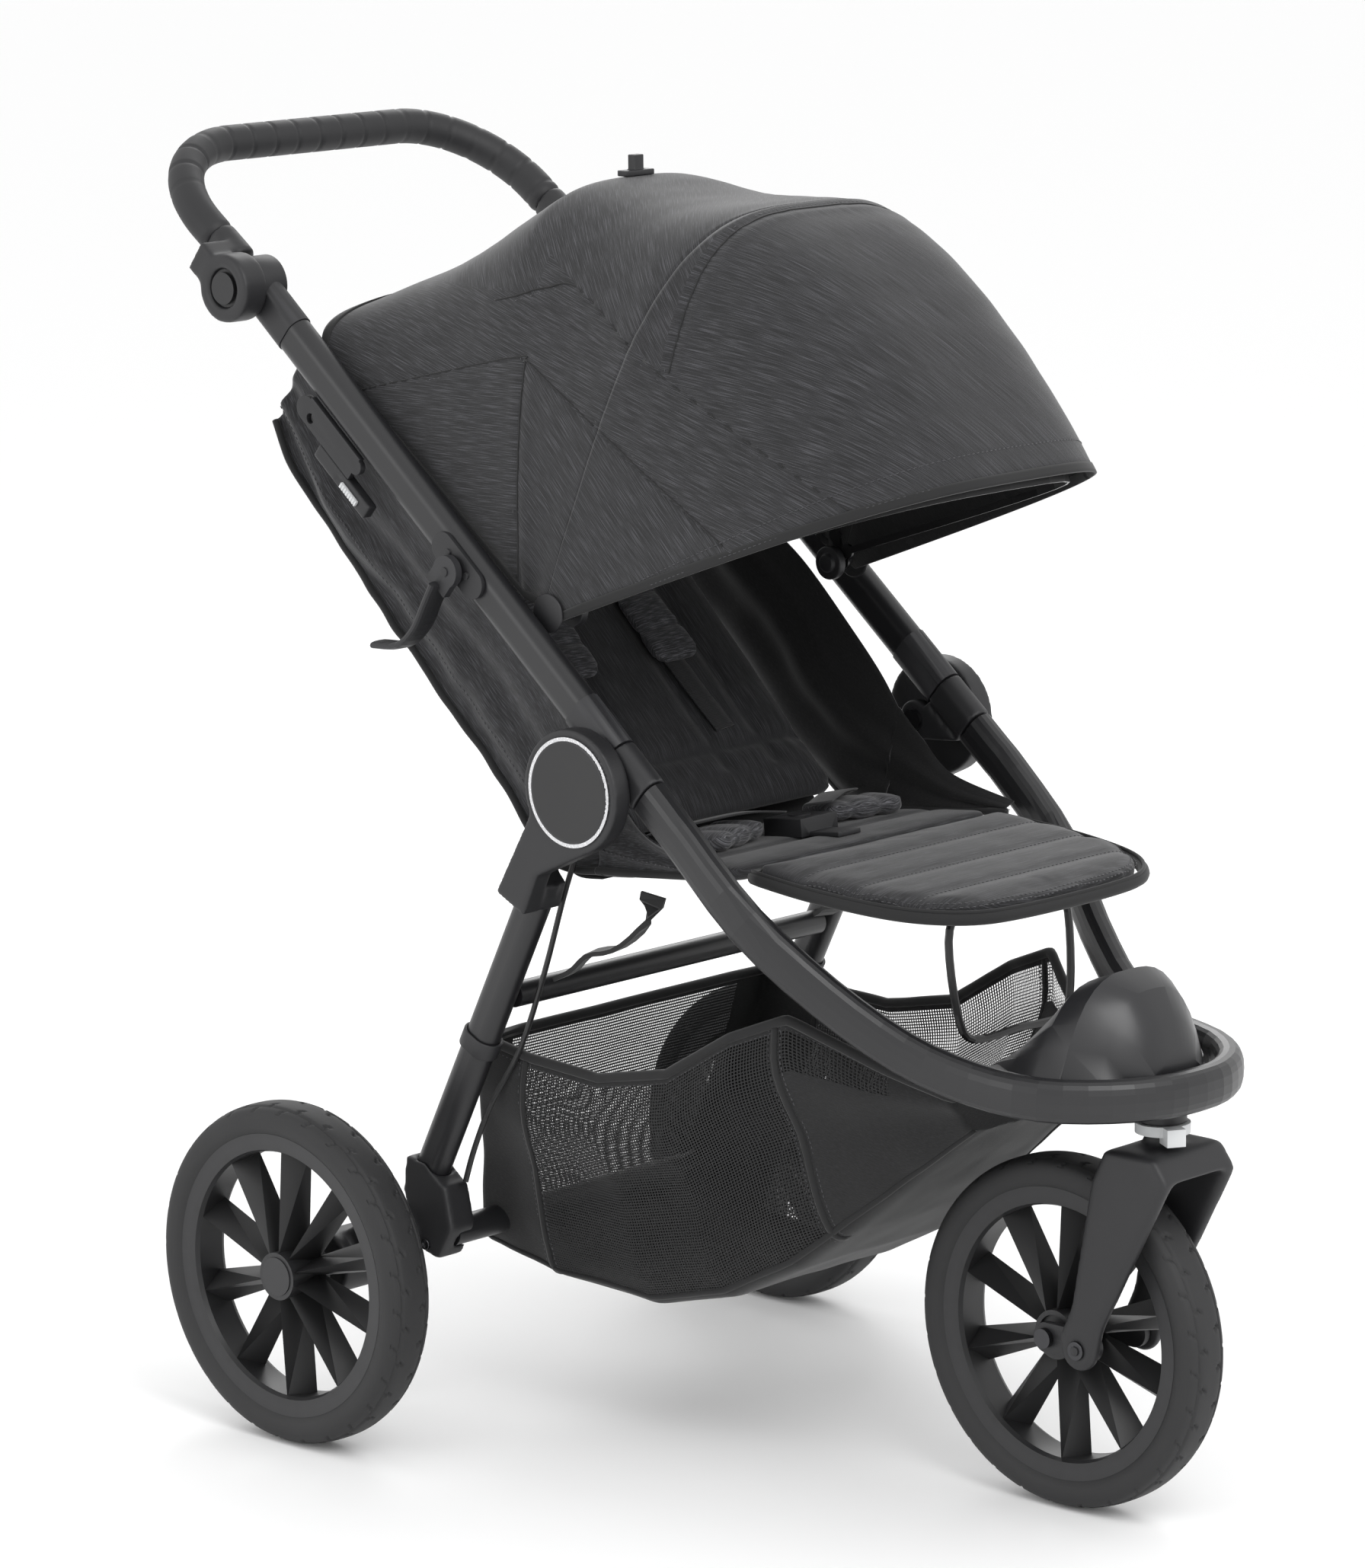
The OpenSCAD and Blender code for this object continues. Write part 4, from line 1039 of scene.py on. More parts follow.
# %% Blow up a pad
def pad_block(name, outline, place, thickness, mesh_mm=5.0):
    """A flat block from an outline of (along, across) points in millimetres, placed by a matrix."""
    n = len(outline)
    points = [place @ (Vector((x, y, s * thickness / 2)) * MM) for s in (-1, 1) for x, y in outline]
    faces = [tuple(range(n - 1, -1, -1)), tuple(range(n, 2 * n))]
    faces += [(i, (i + 1) % n, n + (i + 1) % n, n + i) for i in range(n)]
    block = new_piece(name, points, faces, [])
    outwards(block)
    remesh = block.modifiers.new("even_faces", "REMESH")
    remesh.mode = "VOXEL"
    remesh.voxel_size = mesh_mm * MM
    remesh.use_smooth_shade = True
    return apply_modifiers(block)


def blown_up(pad, place, outline_box, cap_mm):
    """Swells a pad. Vertices move at most cap_mm, and the seam round the edge stays where it is."""
    flat = place.inverted()
    rest = [v.co.copy() for v in pad.data.vertices]
    (x0, x1), (y0, y1) = outline_box
    crown = []
    for v in rest:
        p = flat @ v / MM
        edge = min(p.x - x0, x1 - p.x, p.y - y0, y1 - p.y)
        crown.append(max(0.0, min(1.0, edge / 34)) ** 0.5)
    cloth = pad.modifiers.new("foam_pressure", "CLOTH")
    cloth.settings.quality = 5
    cloth.settings.mass = 0.3
    cloth.settings.tension_stiffness = 12
    cloth.settings.compression_stiffness = 12
    cloth.settings.bending_stiffness = 0.4
    cloth.settings.use_pressure = True
    cloth.settings.uniform_pressure_force = 4.0
    cloth.settings.effector_weights.gravity = 0
    cloth.point_cache.frame_start = 1
    cloth.point_cache.frame_end = 20
    for f in range(1, 21):
        bpy.context.scene.frame_set(f)
    swollen = pad.evaluated_get(bpy.context.evaluated_depsgraph_get())
    moved = [v.co.copy() for v in swollen.data.vertices]
    pad.modifiers.remove(cloth)
    bpy.context.scene.frame_set(1)
    for v, p, q, share in zip(pad.data.vertices, rest, moved, crown):
        step = q - p
        limit = cap_mm * MM * (0.25 + 0.75 * share)
        v.co = p + (step.normalized() * limit if step.length > limit else step)
    return pad


def press_channels(pad, place, channels, depth, width=7.0, wave=0.8):
    """Presses sewn channels into a pad: each is (a, b), a line in the pad's own millimetres."""
    flat, up = place.inverted(), (place.to_3x3() @ Vector((0, 0, 1))).normalized()
    for v in pad.data.vertices:
        p = flat @ v.co / MM
        sink = 0.0
        for a, b in channels:
            along = Vector(b) - Vector(a)
            t = max(0.0, min(1.0, (Vector((p.x, p.y)) - Vector(a)).dot(along) / along.length_squared))
            away = (Vector((p.x, p.y)) - Vector(a) - along * t).length
            sink = max(sink, math.exp(-(away / width) ** 2))
        side = 1 if p.z > 0 else -1
        v.co -= up * side * depth * sink * MM
        v.co += up * side * wave * MM * noise.noise(p * 0.028) * (1 - sink)
    return pad


def finish_pad(pad, place, weft, finish, turn=0.0):
    """Smooth shading, a subdivision, a UV map in metres with U along the weft, and its finish."""
    finer = pad.modifiers.new("smooth", "SUBSURF")
    finer.levels = finer.render_levels = 1
    apply_modifiers(pad)
    flat = place.inverted()
    layer = pad.data.uv_layers.new(name="UVMap")
    a, b = math.cos(math.radians(turn)), math.sin(math.radians(turn))
    for face in pad.data.polygons:
        steep = abs((flat.to_3x3() @ face.normal).normalized().z) < 0.5
        for loop in face.loop_indices:
            p = flat @ pad.data.vertices[pad.data.loops[loop].vertex_index].co
            x, y = (p.x + (p.z if steep else 0), p.y + (p.z if steep else 0))
            u, v = (y, x) if weft == "across" else (x, y)
            layer.data[loop].uv = (u * a - v * b, u * b + v * a)
    pad.data.polygons.foreach_set("use_smooth", [True] * len(pad.data.polygons))
    pad.data.materials.clear()
    pad.data.materials.append(finish)
    print(pad.name, "has", len(pad.data.polygons), "faces")
    return pad


def lying_on(a, b, lift=0.0):
    """A pad's own frame: X from a towards b in the side view, Y across, Z out of its front face."""
    start, along = at(a[0], 0, a[1]), (at(b[0], 0, b[1]) - at(a[0], 0, a[1])).normalized()
    across = Vector((0, 1, 0))
    up = along.cross(across).normalized()
    turn = Matrix((along, across, up)).transposed()
    return Matrix.Translation(start + up * lift * MM) @ turn.to_4x4()


def round_outline(x0, x1, y0, y1, corner, steps=8):
    """A rectangle with round corners."""
    line = []
    for cx, cy, start in ((x1 - corner, y1 - corner, 0), (x0 + corner, y1 - corner, 90),
                          (x0 + corner, y0 + corner, 180), (x1 - corner, y0 + corner, 270)):
        line += [(cx + corner * math.cos(math.radians(start + 90 * k / steps)),
                  cy + corner * math.sin(math.radians(start + 90 * k / steps))) for k in range(steps + 1)]
    return line


print("pads are made at 5 mm")

# %% [markdown]
# ## Webbing
# Webbing is flat and stiff, so it is drawn directly as a ribbon with rounded edges along its path.

# %% Webbing ribbons
def ribbon(name, path, normals, width=25.0, thickness=1.6, finish=webbing):
    """A flat strap along a path, its face held to the given normals, with its UV map in metres."""
    points, faces, total = [], [], 0.0
    runs = [0.0]
    for p, q in zip(path, path[1:]):
        total += (q - p).length
        runs.append(total)
    half, t = width / 2, thickness / 2
    section = [(-half, 0), (-half + t, t), (-half / 3, t * 1.1), (half / 3, t * 1.1),
               (half - t, t), (half, 0),
               (half - t, -t), (half / 3, -t * 1.1), (-half / 3, -t * 1.1), (-half + t, -t)]
    n = len(section)
    for i, p in enumerate(path):
        along = (path[min(i + 1, len(path) - 1)] - path[max(i - 1, 0)]).normalized()
        side = along.cross(normals[i]).normalized()
        up = side.cross(along).normalized()
        points += [p + side * a * MM + up * b * MM for a, b in section]
    faces = [(i * n + k, i * n + (k + 1) % n, (i + 1) * n + (k + 1) % n, (i + 1) * n + k)
             for i in range(len(path) - 1) for k in range(n)]
    faces += [tuple(range(n - 1, -1, -1)), tuple((len(path) - 1) * n + k for k in range(n))]
    strap = new_piece(name, points, faces, finish)
    layer = strap.data.uv_layers.new(name="UVMap")
    for face in strap.data.polygons:
        for loop in face.loop_indices:
            i, k = divmod(strap.data.loops[loop].vertex_index, n)
            layer.data[loop].uv = (runs[i], section[k][0] * MM)
    outwards(strap)
    strap.data.polygons.foreach_set("use_smooth", [True] * len(strap.data.polygons))
    return strap


print("webbing is drawn as a ribbon")

# %% [markdown]
# ## Seat back, seat and leg rest
# The back is one tall pad with long vertical channels. The seat has two across it. The leg rest has three
# channels across, a piped binding round its edge, and rounded front corners.

# %% Seat back and seat
BIGHT, BACK_TOP = (204, 528), (-112, 846)
back_place = lying_on(BIGHT, BACK_TOP, -6)
if (back_place.to_3x3() @ Vector((0, 0, 1))).x < 0:
    back_place = back_place @ Matrix.Rotation(math.pi, 4, "X")
back_long = math.hypot(BACK_TOP[0] - BIGHT[0], BACK_TOP[1] - BIGHT[1])
seat_low, seat_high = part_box("seat_back")
SEAT_HALF = (seat_high[1] - seat_low[1]) / 2 / MM
back_pad = pad_block("seat_back_pad", round_outline(-3, back_long - 2, -SEAT_HALF + 3, SEAT_HALF - 3, 16),
                     back_place, 11)
blown_up(back_pad, back_place, ((0, back_long), (-SEAT_HALF, SEAT_HALF)), 5.0)
press_channels(back_pad, back_place, [((40, s * 48), (back_long - 30, s * 44)) for s in (-1, 1)]
               + [((40, s * 108), (back_long - 30, s * 100)) for s in (-1, 1)]
               + [((60, -SEAT_HALF), (60, SEAT_HALF))], 4.0)
finish_pad(back_pad, back_place, "along", melange)
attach(back_pad, "seat_backrest")
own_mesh(back_pad)
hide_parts("seat_back")
seat_place = lying_on((214, 512), (396, 532))
seat_pad = pad_block("seat_base_pad", round_outline(-4, 181, -SEAT_HALF + 3, SEAT_HALF - 3, 14),
                     seat_place, 11)
blown_up(seat_pad, seat_place, ((0, 183), (-SEAT_HALF, SEAT_HALF)), 3.5)
press_channels(seat_pad, seat_place, [((x, -SEAT_HALF), (x, SEAT_HALF)) for x in (62, 124)], 3.0)
finish_pad(seat_pad, seat_place, "across", melange)
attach(seat_pad, "lower_frame")
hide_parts("seat_base")

# %% Cloth across the fold of the seat
bight_path = curve_through([at(174, 0, 544), at(186, 0, 521), at(206, 0, 506), at(236, 0, 507)], 6)
bight_cloth = ribbon("seat_bight_cloth", bight_path, [Vector((0.6, 0, 0.8))] * len(bight_path),
                     2 * SEAT_HALF - 8, 1.6, lining)
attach(bight_cloth, "lower_frame")
print("cloth across the fold is", len(bight_cloth.data.polygons), "faces")

# %% Leg rest with its binding
rest_place = lying_on((404, 534), (622, 518))
rest_outline = [(0, -160), (60, -164), (120, -159), (160, -148), (188, -128), (206, -100), (213, -60),
                (215, 0), (213, 60), (206, 100), (188, 128), (160, 148), (120, 159), (60, 164), (0, 160)]
smooth_front = [(v.x, v.y) for v in curve_through([Vector(p) for p in rest_outline], 4)]
rest_inside = [(4 + 0.965 * x, 0.965 * y) for x, y in smooth_front]
rest_pad = pad_block("leg_rest_cushion", rest_inside, rest_place, 14)
blown_up(rest_pad, rest_place, ((0, 216), (-165, 165)), 4.5)
rest_channels = [((x, -reach), (x, reach)) for x, reach in ((54, 170), (108, 170), (162, 160))]
press_channels(rest_pad, rest_place, rest_channels, 2.2, 8.0)
finish_pad(rest_pad, rest_place, "across", melange)
edge_line = [rest_place @ (Vector((3 + 0.985 * x, 0.985 * y, 0)) * MM) for x, y in smooth_front]
rest_up = (rest_place.to_3x3() @ Vector((0, 0, 1))).normalized()
rest_binding = tube("leg_rest_binding", [p - rest_up * 3.5 * MM for p in edge_line], 5.2 * MM, binding,
                    sides=10,
                    closed=True, normals=[rest_up] * len(edge_line), flat=1.0)
rest_piping = tube("leg_rest_piping", [p + rest_up * 2.4 * MM for p in edge_line], 1.7 * MM, binding, sides=8,
                   closed=True, normals=[rest_up] * len(edge_line))
rest_tree = BVHTree.FromObject(rest_pad, bpy.context.evaluated_depsgraph_get())


def on_pad(tree, place, line, steps=60):
    """Places and normals on a pad's front face, over a line in the pad's own millimetres."""
    up, found = (place.to_3x3() @ Vector((0, 0, 1))).normalized(), []
    for p in curve_through([Vector(q) for q in line], max(2, steps // (len(line) - 1))):
        hit, normal, _, _ = tree.ray_cast(place @ (Vector((p.x, p.y, 60)) * MM), -up)
        if hit:
            found.append((hit, normal if normal.dot(up) > 0 else -normal))
    return found


rest_stitches = [stitch_row(f"rest_stitches_{k}",
                            on_pad(rest_tree, rest_place, [(x, -150), (x, 0), (x, 150)]), 0)
                 for k, x in enumerate((54, 108, 162))]
inner_front = [(0.93 * x + 4, 0.93 * y) for x, y in rest_outline[1:-1]]
rest_stitches += [stitch_row(f"rest_edge_stitches_{k}", on_pad(rest_tree, rest_place, inner_front, 100), off)
                  for k, off in enumerate((0.0, 5.5))]
rest_trim = joined("leg_rest_trim", [rest_binding, rest_piping])
rest_thread = joined("leg_rest_stitches", rest_stitches)
for piece in (rest_pad, rest_trim, rest_thread):
    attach(piece, "leg_rest_pad")
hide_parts("leg_rest")
print("leg rest with", len(rest_stitches), "rows of stitches")

# %% [markdown]
# ## Harness
# The shoulder pads are sewn across every 38 mm and lie on straps that run down the seat back. A second pair
# of straps goes over the seat to the buckle, beside the two waist pads. Each strap is one ribbon.

# %% Shoulder straps and waist straps
back_tree = BVHTree.FromObject(back_pad, bpy.context.evaluated_depsgraph_get())
back_up = (back_place.to_3x3() @ Vector((0, 0, 1))).normalized()
shoulder = []
for side in (-1, 1):
    line = [(back_long * 0.88, side * 52), (back_long * 0.62, side * 56), (back_long * 0.36, side * 62),
            (back_long * 0.17, side * 70)]
    shoulder.append(on_pad(back_tree, back_place, line, 45))
harness_pieces = []
for side, hits in zip((-1, 1), shoulder):
    label = "right" if side < 0 else "left"
    path = [p + back_up * 2.2 * MM for p, _ in hits]
    harness_pieces.append(ribbon("shoulder_strap_" + label, path, [back_up] * len(path)))
shoulder_straps = joined("shoulder_straps", harness_pieces)
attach(shoulder_straps, "seat_backrest")
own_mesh(shoulder_straps)
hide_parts("harness_webbing")
waist_straps = []
for side in (-1, 1):
    label = "right" if side < 0 else "left"
    path = curve_through([at(228, side * 128, 530), at(262, side * 116, 544), at(300, side * 60, 556),
                          at(316, side * 24, 554)], 8)
    waist_straps.append(ribbon("waist_strap_" + label, path, [Vector((-0.2, 0, 1)).normalized()] * len(path)))
waist_straps = joined("waist_straps", waist_straps)
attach(waist_straps, "lower_frame")
strap_faces = len(shoulder_straps.data.polygons) + len(waist_straps.data.polygons)
print("shoulder and waist straps are", strap_faces, "faces")

# %% Shoulder and waist pads
for side, hits in zip((-1, 1), shoulder):
    label = "right" if side < 0 else "left"
    top, low = hits[4][0], hits[-14][0]
    along = (low - top).normalized()
    across = back_up.cross(along).normalized()
    turned = Matrix((along, across, back_up)).transposed().to_4x4()
    place = Matrix.Translation(top + back_up * 9 * MM) @ turned
    length = (low - top).length / MM
    pad = pad_block("shoulder_pad_" + label, round_outline(0, length, -27, 27, 12), place, 8, 4.0)
    blown_up(pad, place, ((0, length), (-27, 27)), 3.0)
    press_channels(pad, place, [((x, -30), (x, 30)) for x in range(36, int(length) - 12, 38)], 3.2, 3.6, 0.4)
    # The shoulder pads take the lighter copy of the melange: painted light against the seat's shade.
    finish_pad(pad, place, "across", painted_light_melange)
    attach(pad, "seat_backrest")
    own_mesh(pad)
    if side < 0:
        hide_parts("shoulder_pads")
seat_up = (seat_place.to_3x3() @ Vector((0, 0, 1))).normalized()
for side in (-1, 1):
    label = "right" if side < 0 else "left"
    across = Vector((math.sin(math.radians(14 * side)), math.cos(math.radians(14 * side)), 0))
    along = across.cross(seat_up).normalized()
    turned = Matrix((along, across, seat_up)).transposed().to_4x4()
    place = Matrix.Translation(at(300, side * 84, 540)) @ turned
    pad = pad_block("waist_pad_" + label, round_outline(-27, 27, -42, 42, 14), place, 12, 4.0)
    blown_up(pad, place, ((-27, 27), (-42, 42)), 4.0)
    press_channels(pad, place, [((-30, y), (30, y)) for y in (-15, 15)], 2.8, 3.6, 0.4)
    # The waist pads take the lighter copy of the melange: painted light against the seat's shade.
    finish_pad(pad, place, "across", painted_light_melange)
    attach(pad, "lower_frame")
    if side < 0:
        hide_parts("waist_pads")
print("four harness pads")

# %% [markdown]
# ## Basket
# The basket is a bag of cloth with see-through mesh in its sides and rear wall, so its load can be seen.
# It is one skin over eight cross sections, with the mesh and the plain panels set face by face, bound seams
# where the panels meet, and a piped hem round the rim. Cloth hung between straps sags and wrinkles, so
# each panel bulges and a slow noise moves it by a few millimetres.

# %% Basket skin
BAG = [(108, 178, 352, 152, 140, 50), (170, 182, 344, 134, 136, 22), (250, 184, 340, 126, 128, 0),
       (330, 182, 356, 146, 122, 0), (400, 178, 398, 182, 116, 0), (455, 168, 420, 224, 108, 0),
       (515, 128, 384, 276, 92, 0), (575, 100, 360, 326, 78, 0)]
BAG_STEPS, WALL_STEPS = 8, 20


def bag_profile(t):
    """Half a cross section, from the rim down to the middle of the floor, as (x, y, z) in millimetres."""
    i = min(int(t), len(BAG) - 2)
    f = t - i
    f = f * f * (3 - 2 * f) * 0.5 + f * 0.5
    x, rim_y, rim_z, floor_z, floor_y, lean = (a + (b - a) * f for a, b in zip(BAG[i], BAG[i + 1]))
    sag = 5 * math.sin(math.pi * min(1, t / 5))
    rough = [(0.0, rim_y, rim_z), (0.22, rim_y + sag, 0), (0.5, (rim_y + floor_y) / 2 + sag, 0),
             (0.78, floor_y + 0.2 * (rim_y - floor_y) + sag / 2, 0), (0.94, floor_y - 3, 0),
             (1.0, floor_y - 20, floor_z)]
    line = [Vector((x - lean * d, y, rim_z + (floor_z - rim_z) * d)) for d, y, _ in rough]
    line.append(Vector((x - lean, floor_y / 2, floor_z)))
    line.append(Vector((x - lean, 0, floor_z)))
    return curve_through(line, 4)


bag_rows = [bag_profile(k / BAG_STEPS) for k in range((len(BAG) - 1) * BAG_STEPS + 1)]
bag_points, bag_faces, bag_finish, bag_uv = [], [], [], []


def bag_grid(rows, is_mesh, uv):
    """Adds a grid of points, its faces, the finish of each face, and a UV place for each point."""
    start, wide = len(bag_points), len(rows[0])
    for i, row in enumerate(rows):
        for k, p in enumerate(row):
            slack = Vector((p.x * 0.021, p.y * 0.02, p.z * 0.028))
            loose = 3.2 * noise.noise(slack) + 1.1 * noise.noise(slack * 3.1)
            pull = Vector((0, 1 if p.y > 0 else -1, 0)) if abs(p.y) > 60 else Vector((0, 0, 1))
            bag_points.append(at(*(p + pull * loose * min(1, abs(p.y) / 60 if abs(p.y) > 60 else 0.6))))
            bag_uv.append(uv(p, i, k))
    for i in range(len(rows) - 1):
        for k in range(wide - 1):
            a = start + i * wide + k
            bag_faces.append((a, a + 1, a + wide + 1, a + wide))
            bag_finish.append(1 if is_mesh(i, k) else 0)


def run_down(row):
    """Distances down a row of points, in millimetres."""
    runs = [0.0]
    for p, q in zip(row, row[1:]):
        runs.append(runs[-1] + (q - p).length)
    return runs


lengths = [run_down(row) for row in bag_rows]
for side in (-1, 1):
    bag_grid([[Vector((p.x, side * p.y, p.z)) for p in row] for row in bag_rows],
             lambda i, k: 7 <= i < 38 and 1 <= k < 17 or 38 <= i < 50 and 1 <= k < 4,
             lambda p, i, k: (p.x * MM, lengths[i][k] * MM))
for end, see_through in ((0, True), (-1, False)):
    rows = [[Vector((p.x, p.y * (2 * m / WALL_STEPS - 1), p.z)) for m in range(WALL_STEPS + 1)]
            for p in bag_rows[end]]
    bag_grid(rows, lambda i, k, see=see_through: see and 1 <= i < 17 and 2 <= k < WALL_STEPS - 2,
             lambda p, i, k: (p.y * MM, p.z * MM))
basket_cloth = new_piece("basket_cloth", bag_points, bag_faces, [plain_cloth, basket_mesh])
basket_cloth.data.polygons.foreach_set("material_index", bag_finish)
bag_layer = basket_cloth.data.uv_layers.new(name="UVMap")
for loop in basket_cloth.data.loops:
    bag_layer.data[loop.index].uv = bag_uv[loop.vertex_index]
pick(basket_cloth)
bpy.ops.object.mode_set(mode="EDIT")
bpy.ops.mesh.select_all(action="SELECT")
bpy.ops.mesh.remove_doubles(threshold=0.0006)
bpy.ops.mesh.normals_make_consistent(inside=False)
bpy.ops.object.mode_set(mode="OBJECT")
finer = basket_cloth.modifiers.new("smooth", "SUBSURF")
finer.levels = finer.render_levels = 1
apply_modifiers(basket_cloth)
print("basket skin has", len(basket_cloth.data.polygons), "faces")

# %% Hem, bound seams and stitches
bag_tree = BVHTree.FromObject(basket_cloth, bpy.context.evaluated_depsgraph_get())


def snapped(points):
    """Points moved onto the skin, with the skin's normals turned outwards."""
    found, middle = [], at(340, 0, 290)
    for p in points:
        hit, normal, _, _ = bag_tree.find_nearest(p)
        found.append((hit, normal if normal.dot(hit - middle) > 0 else -normal))
    return found


rim = [at(row[0].x, -row[0].y, row[0].z) for row in bag_rows]
rim += [at(bag_rows[-1][0].x, bag_rows[-1][0].y * (2 * m / 8 - 1), bag_rows[-1][0].z) for m in range(1, 8)]
rim += [at(row[0].x, row[0].y, row[0].z) for row in reversed(bag_rows)]
rim += [at(bag_rows[0][0].x, bag_rows[0][0].y * (1 - 2 * m / 8), bag_rows[0][0].z) for m in range(1, 8)]
rim = [hit for hit, _ in snapped(rim)]
trims = [tube("basket_hem", rim, 4.4 * MM, binding, sides=10, closed=True)]
rows_of_stitches = []
for side in (-1, 1):
    for i in (7, 38):
        seam = snapped([at(p.x, side * p.y, p.z) for p in bag_rows[i][:22]])
        trims.append(tube(f"seam_{side}_{i}", [p + n * 0.6 * MM for p, n in seam], 3.4 * MM, binding, sides=8,
                          flat=0.5, normals=[n for _, n in seam]))
        for offset in (-6, 6):
            rows_of_stitches.append(stitch_row(f"seam_stitches_{side}_{i}_{offset}", seam, offset))
    low = snapped([at(row[17].x, side * row[17].y, row[17].z) for row in bag_rows])
    trims.append(tube(f"floor_seam_{side}", [p + n * 0.6 * MM for p, n in low], 3.4 * MM, binding, sides=8,
                      flat=0.5, normals=[n for _, n in low]))
    high = snapped([at(row[1].x, side * row[1].y, row[1].z) for row in bag_rows])
    rows_of_stitches.append(stitch_row(f"hem_stitches_{side}", high, 0))
shell = basket_cloth.modifiers.new("cloth_thickness", "SOLIDIFY")
shell.thickness = 1.0 * MM
shell.offset = 0
apply_modifiers(basket_cloth)
basket_trim = joined("basket_binding", trims)
basket_thread = joined("basket_stitches", rows_of_stitches)
for piece in (basket_cloth, basket_trim, basket_thread):
    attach(piece, "lower_frame")
    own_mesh(piece)
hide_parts("basket")

# %% [markdown]
# ## Side cloths
# A cloth closes each side of the seat, from the tube to the back. It is fixed along the tube and hangs
# loose behind it, so it is flat in front and falls in long folds towards its rear edge. Its outside is the
# melange and its inside the black lining. A short cloth goes on along the side of the seat.

# %% Side cloths
REAR_LINE = [(-136, 868), (-92, 799), (-20, 731), (60, 655), (130, 588), (196, 523), (258, 519)]
TUBE_LINE = [(-92, 934), (-10, 860), (90, 770), (150, 726), (206, 672), (240, 636), (262, 606)]
SEAT_LOW = [(250, 519), (300, 523), (350, 528), (394, 533)]
SEAT_HIGH = [(262, 608), (290, 582), (322, 556), (394, 540)]
FOLDS, RUNS = 24, 20


def hanging_cloth(name, low, high, side, loose, body):
    """A cloth between two lines in the side view, loose by a distance in millimetres at its low edge."""
    bottom = curve_through([Vector((x, 0, z)) for x, z in low], RUNS)
    top = curve_through([Vector((x, 0, z)) for x, z in high], RUNS)
    points, faces, places = [], [], []
    for i, (a, b) in enumerate(zip(bottom, top)):
        for k in range(FOLDS + 1):
            share = k / FOLDS
            p = a.lerp(b, share)
            slack = loose * (1 - share) ** 1.2
            wave = math.sin(share * 17 + 2.2 * noise.noise(Vector((p.x * 0.008, side, p.z * 0.008))))
            drift = 0.6 * noise.noise(Vector((p.x * 0.03, side * 4, p.z * 0.03)))
            flare = 9 * max(0.0, share - 0.55) / 0.45
            points.append(at(p.x, side * (181 + flare - slack * (wave + drift)), p.z))
            places.append((i * 8 * MM, share * (b - a).length * MM))
    wide = FOLDS + 1
    for i in range(len(bottom) - 1):
        for k in range(FOLDS):
            a = i * wide + k
            quad = (a, a + 1, a + wide + 1, a + wide)
            faces.append(quad if side > 0 else quad[::-1])
    cloth = new_piece(name, points, faces, [melange, lining])
    layer = cloth.data.uv_layers.new(name="UVMap")
    for loop in cloth.data.loops:
        layer.data[loop.index].uv = places[loop.vertex_index]
    middle = cloth.data.polygons[len(cloth.data.polygons) // 2]
    if middle.normal.y * side < 0:
        cloth.data.flip_normals()
    shell = cloth.modifiers.new("cloth_and_lining", "SOLIDIFY")
    shell.thickness = 1.4 * MM
    shell.offset = -1
    shell.material_offset = 1
    apply_modifiers(cloth)
    out = Vector((0, side, 0))
    rows = [points[i * wide] for i in range(len(bottom))]
    hem = tube(name + "_edge", rows, 3.4 * MM, binding, sides=8)
    inner = [(points[i * wide + 5] + out * 0.4 * MM, out) for i in range(len(bottom))]
    stitches = stitch_row(name + "_stitches", inner, 0)
    for piece in (cloth, hem, stitches):
        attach(piece, body)
    return cloth, hem, stitches


side_cloths = []
for side, label in ((-1, "right"), (1, "left")):
    for piece in hanging_cloth("side_cloth_" + label, REAR_LINE, TUBE_LINE, side, 5.5, "upper_frame"):
        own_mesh(piece)
        side_cloths.append(piece)
    side_cloths += hanging_cloth("seat_side_" + label, SEAT_LOW, SEAT_HIGH, side, 2.0, "lower_frame")
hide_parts("seat_wings")
print(len(side_cloths), "pieces of side cloth")

# %% [markdown]
# ## Softer mouldings
# The fork, the handle joints, the leg heads, the axle housings, the fold lock and the lower knuckles have
# larger fillets than a bevel gives. Each is remeshed at about two millimetres and then relaxed, and more
# turns of the relaxing give rounder corners.

# %% Relax the large mouldings
relaxed = (("front_fork", 2.4, 40), ("handle_joint_housings", 1.8, 24), ("leg_heads", 2.0, 10),
           ("axle_housings", 2.2, 10), ("fold_lock_body", 1.6, 6), ("lower_knuckles", 1.8, 4))
for node_name, voxel, turns in relaxed:
    piece = bpy.data.objects[node_name + "_moulding"]
    remesh = piece.modifiers.new("even_faces", "REMESH")
    remesh.mode = "VOXEL"
    remesh.voxel_size = voxel * MM
    remesh.use_smooth_shade = True
    relax = piece.modifiers.new("fillets", "SMOOTH")
    relax.factor = 0.5
    relax.iterations = turns
    apply_modifiers(piece)
    print(piece.name, len(piece.data.polygons), "faces")

# %% [markdown]
# ## Screws
# Screws with a six-point socket sit on the fork's feet, the suspension arms and the axle housings. Each is a
# low bevelled disc with its socket cut in. A ray finds the surface that it sits on.

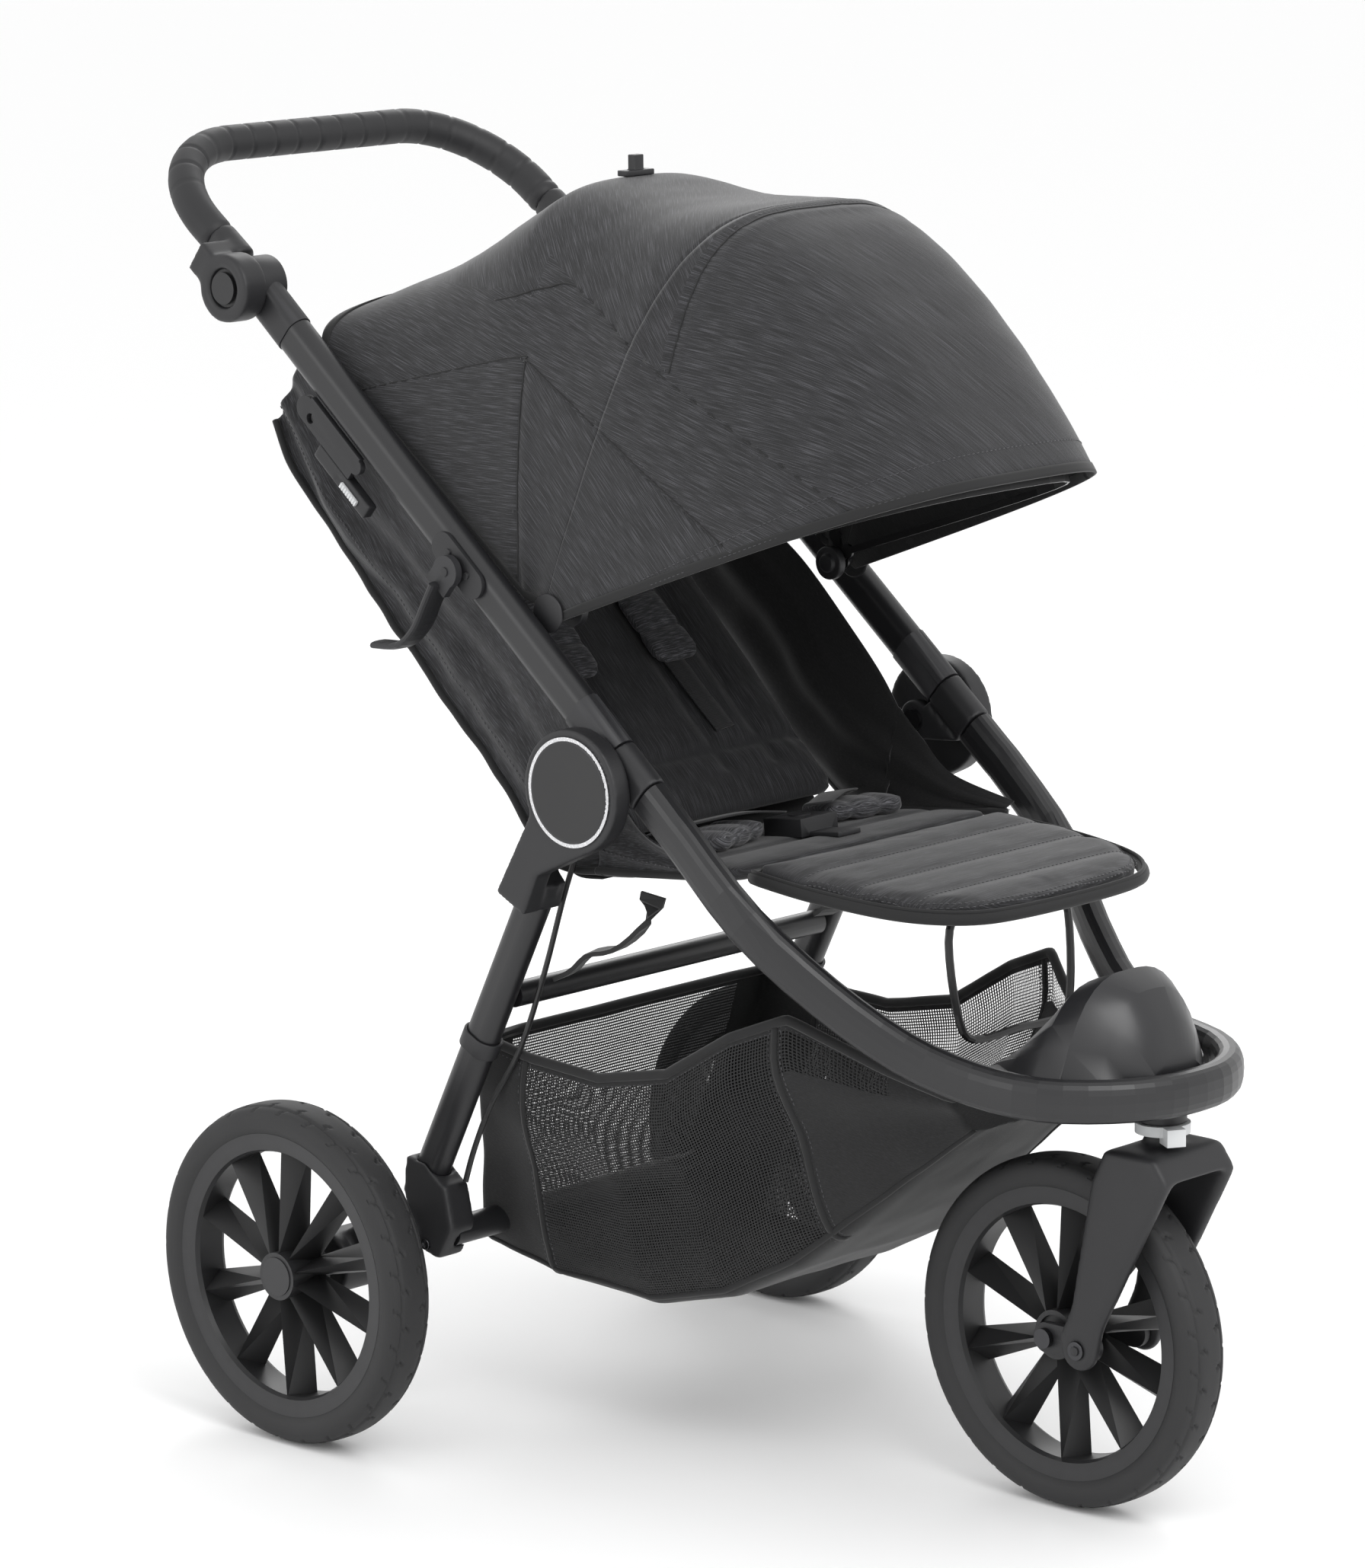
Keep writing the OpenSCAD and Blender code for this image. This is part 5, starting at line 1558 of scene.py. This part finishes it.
# %% Screws
def screw(name, x, z, side, node_name, radius=5.0, beside=0.0):
    """A socket screw in a moulding's outer face. Over a bore, the face is felt for beside the bore."""
    seat = bpy.data.objects[node_name + "_moulding"]
    tree = BVHTree.FromObject(seat, bpy.context.evaluated_depsgraph_get())
    into = seat.matrix_world.inverted()
    start = at(x + beside, side * 400, z)
    hit, _, _, _ = tree.ray_cast(into @ start, (into.to_3x3() @ Vector((0, -side, 0))).normalized())
    if hit is None:
        print(name, "has no surface under it")
        return None
    hit = seat.matrix_world @ hit - Vector((beside * MM, 0, 0))
    clear_selection()
    bpy.ops.mesh.primitive_cylinder_add(vertices=32, radius=radius * MM, depth=3 * MM,
                                        rotation=(math.pi / 2, 0, 0),
                                        location=(hit.x, hit.y + side * 0.5 * MM, hit.z))
    head = pick(bpy.context.object)
    head.name = name
    bpy.ops.object.transform_apply(location=True, rotation=True, scale=True)
    bpy.ops.mesh.primitive_cylinder_add(vertices=6, radius=radius * 0.5 * MM, depth=2.4 * MM,
                                        rotation=(math.pi / 2, 0, 0),
                                        location=(hit.x, hit.y + side * 2.0 * MM, hit.z))
    socket = pick(bpy.context.object)
    bpy.ops.object.transform_apply(location=True, rotation=True, scale=True)
    cut = pick(head).modifiers.new("socket", "BOOLEAN")
    cut.operation = "DIFFERENCE"
    cut.object = socket
    cut.solver = "EXACT"
    edge = head.modifiers.new("edge", "BEVEL")
    edge.width = 0.5 * MM
    edge.segments = 2
    edge.limit_method = "ANGLE"
    apply_modifiers(head)
    bpy.data.objects.remove(socket)
    head.data.materials.clear()
    head.data.materials.append(hardware)
    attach(head, BODY_OF[node_name])
    return head


screws = [screw(f"screw_{node_name}_{k}_{label}", x, z, side, node_name, radius, beside)
          for side, label in ((-1, "right"), (1, "left"))
          for k, (node_name, x, z, radius, beside) in enumerate((
              ("front_fork", 663, 150, 8.0, 11), ("suspension_arms", 619, 150, 8.0, 11),
              ("axle_housings", 74, 170, 5.0, 0)))]
print(sum(s is not None for s in screws), "screws seated")
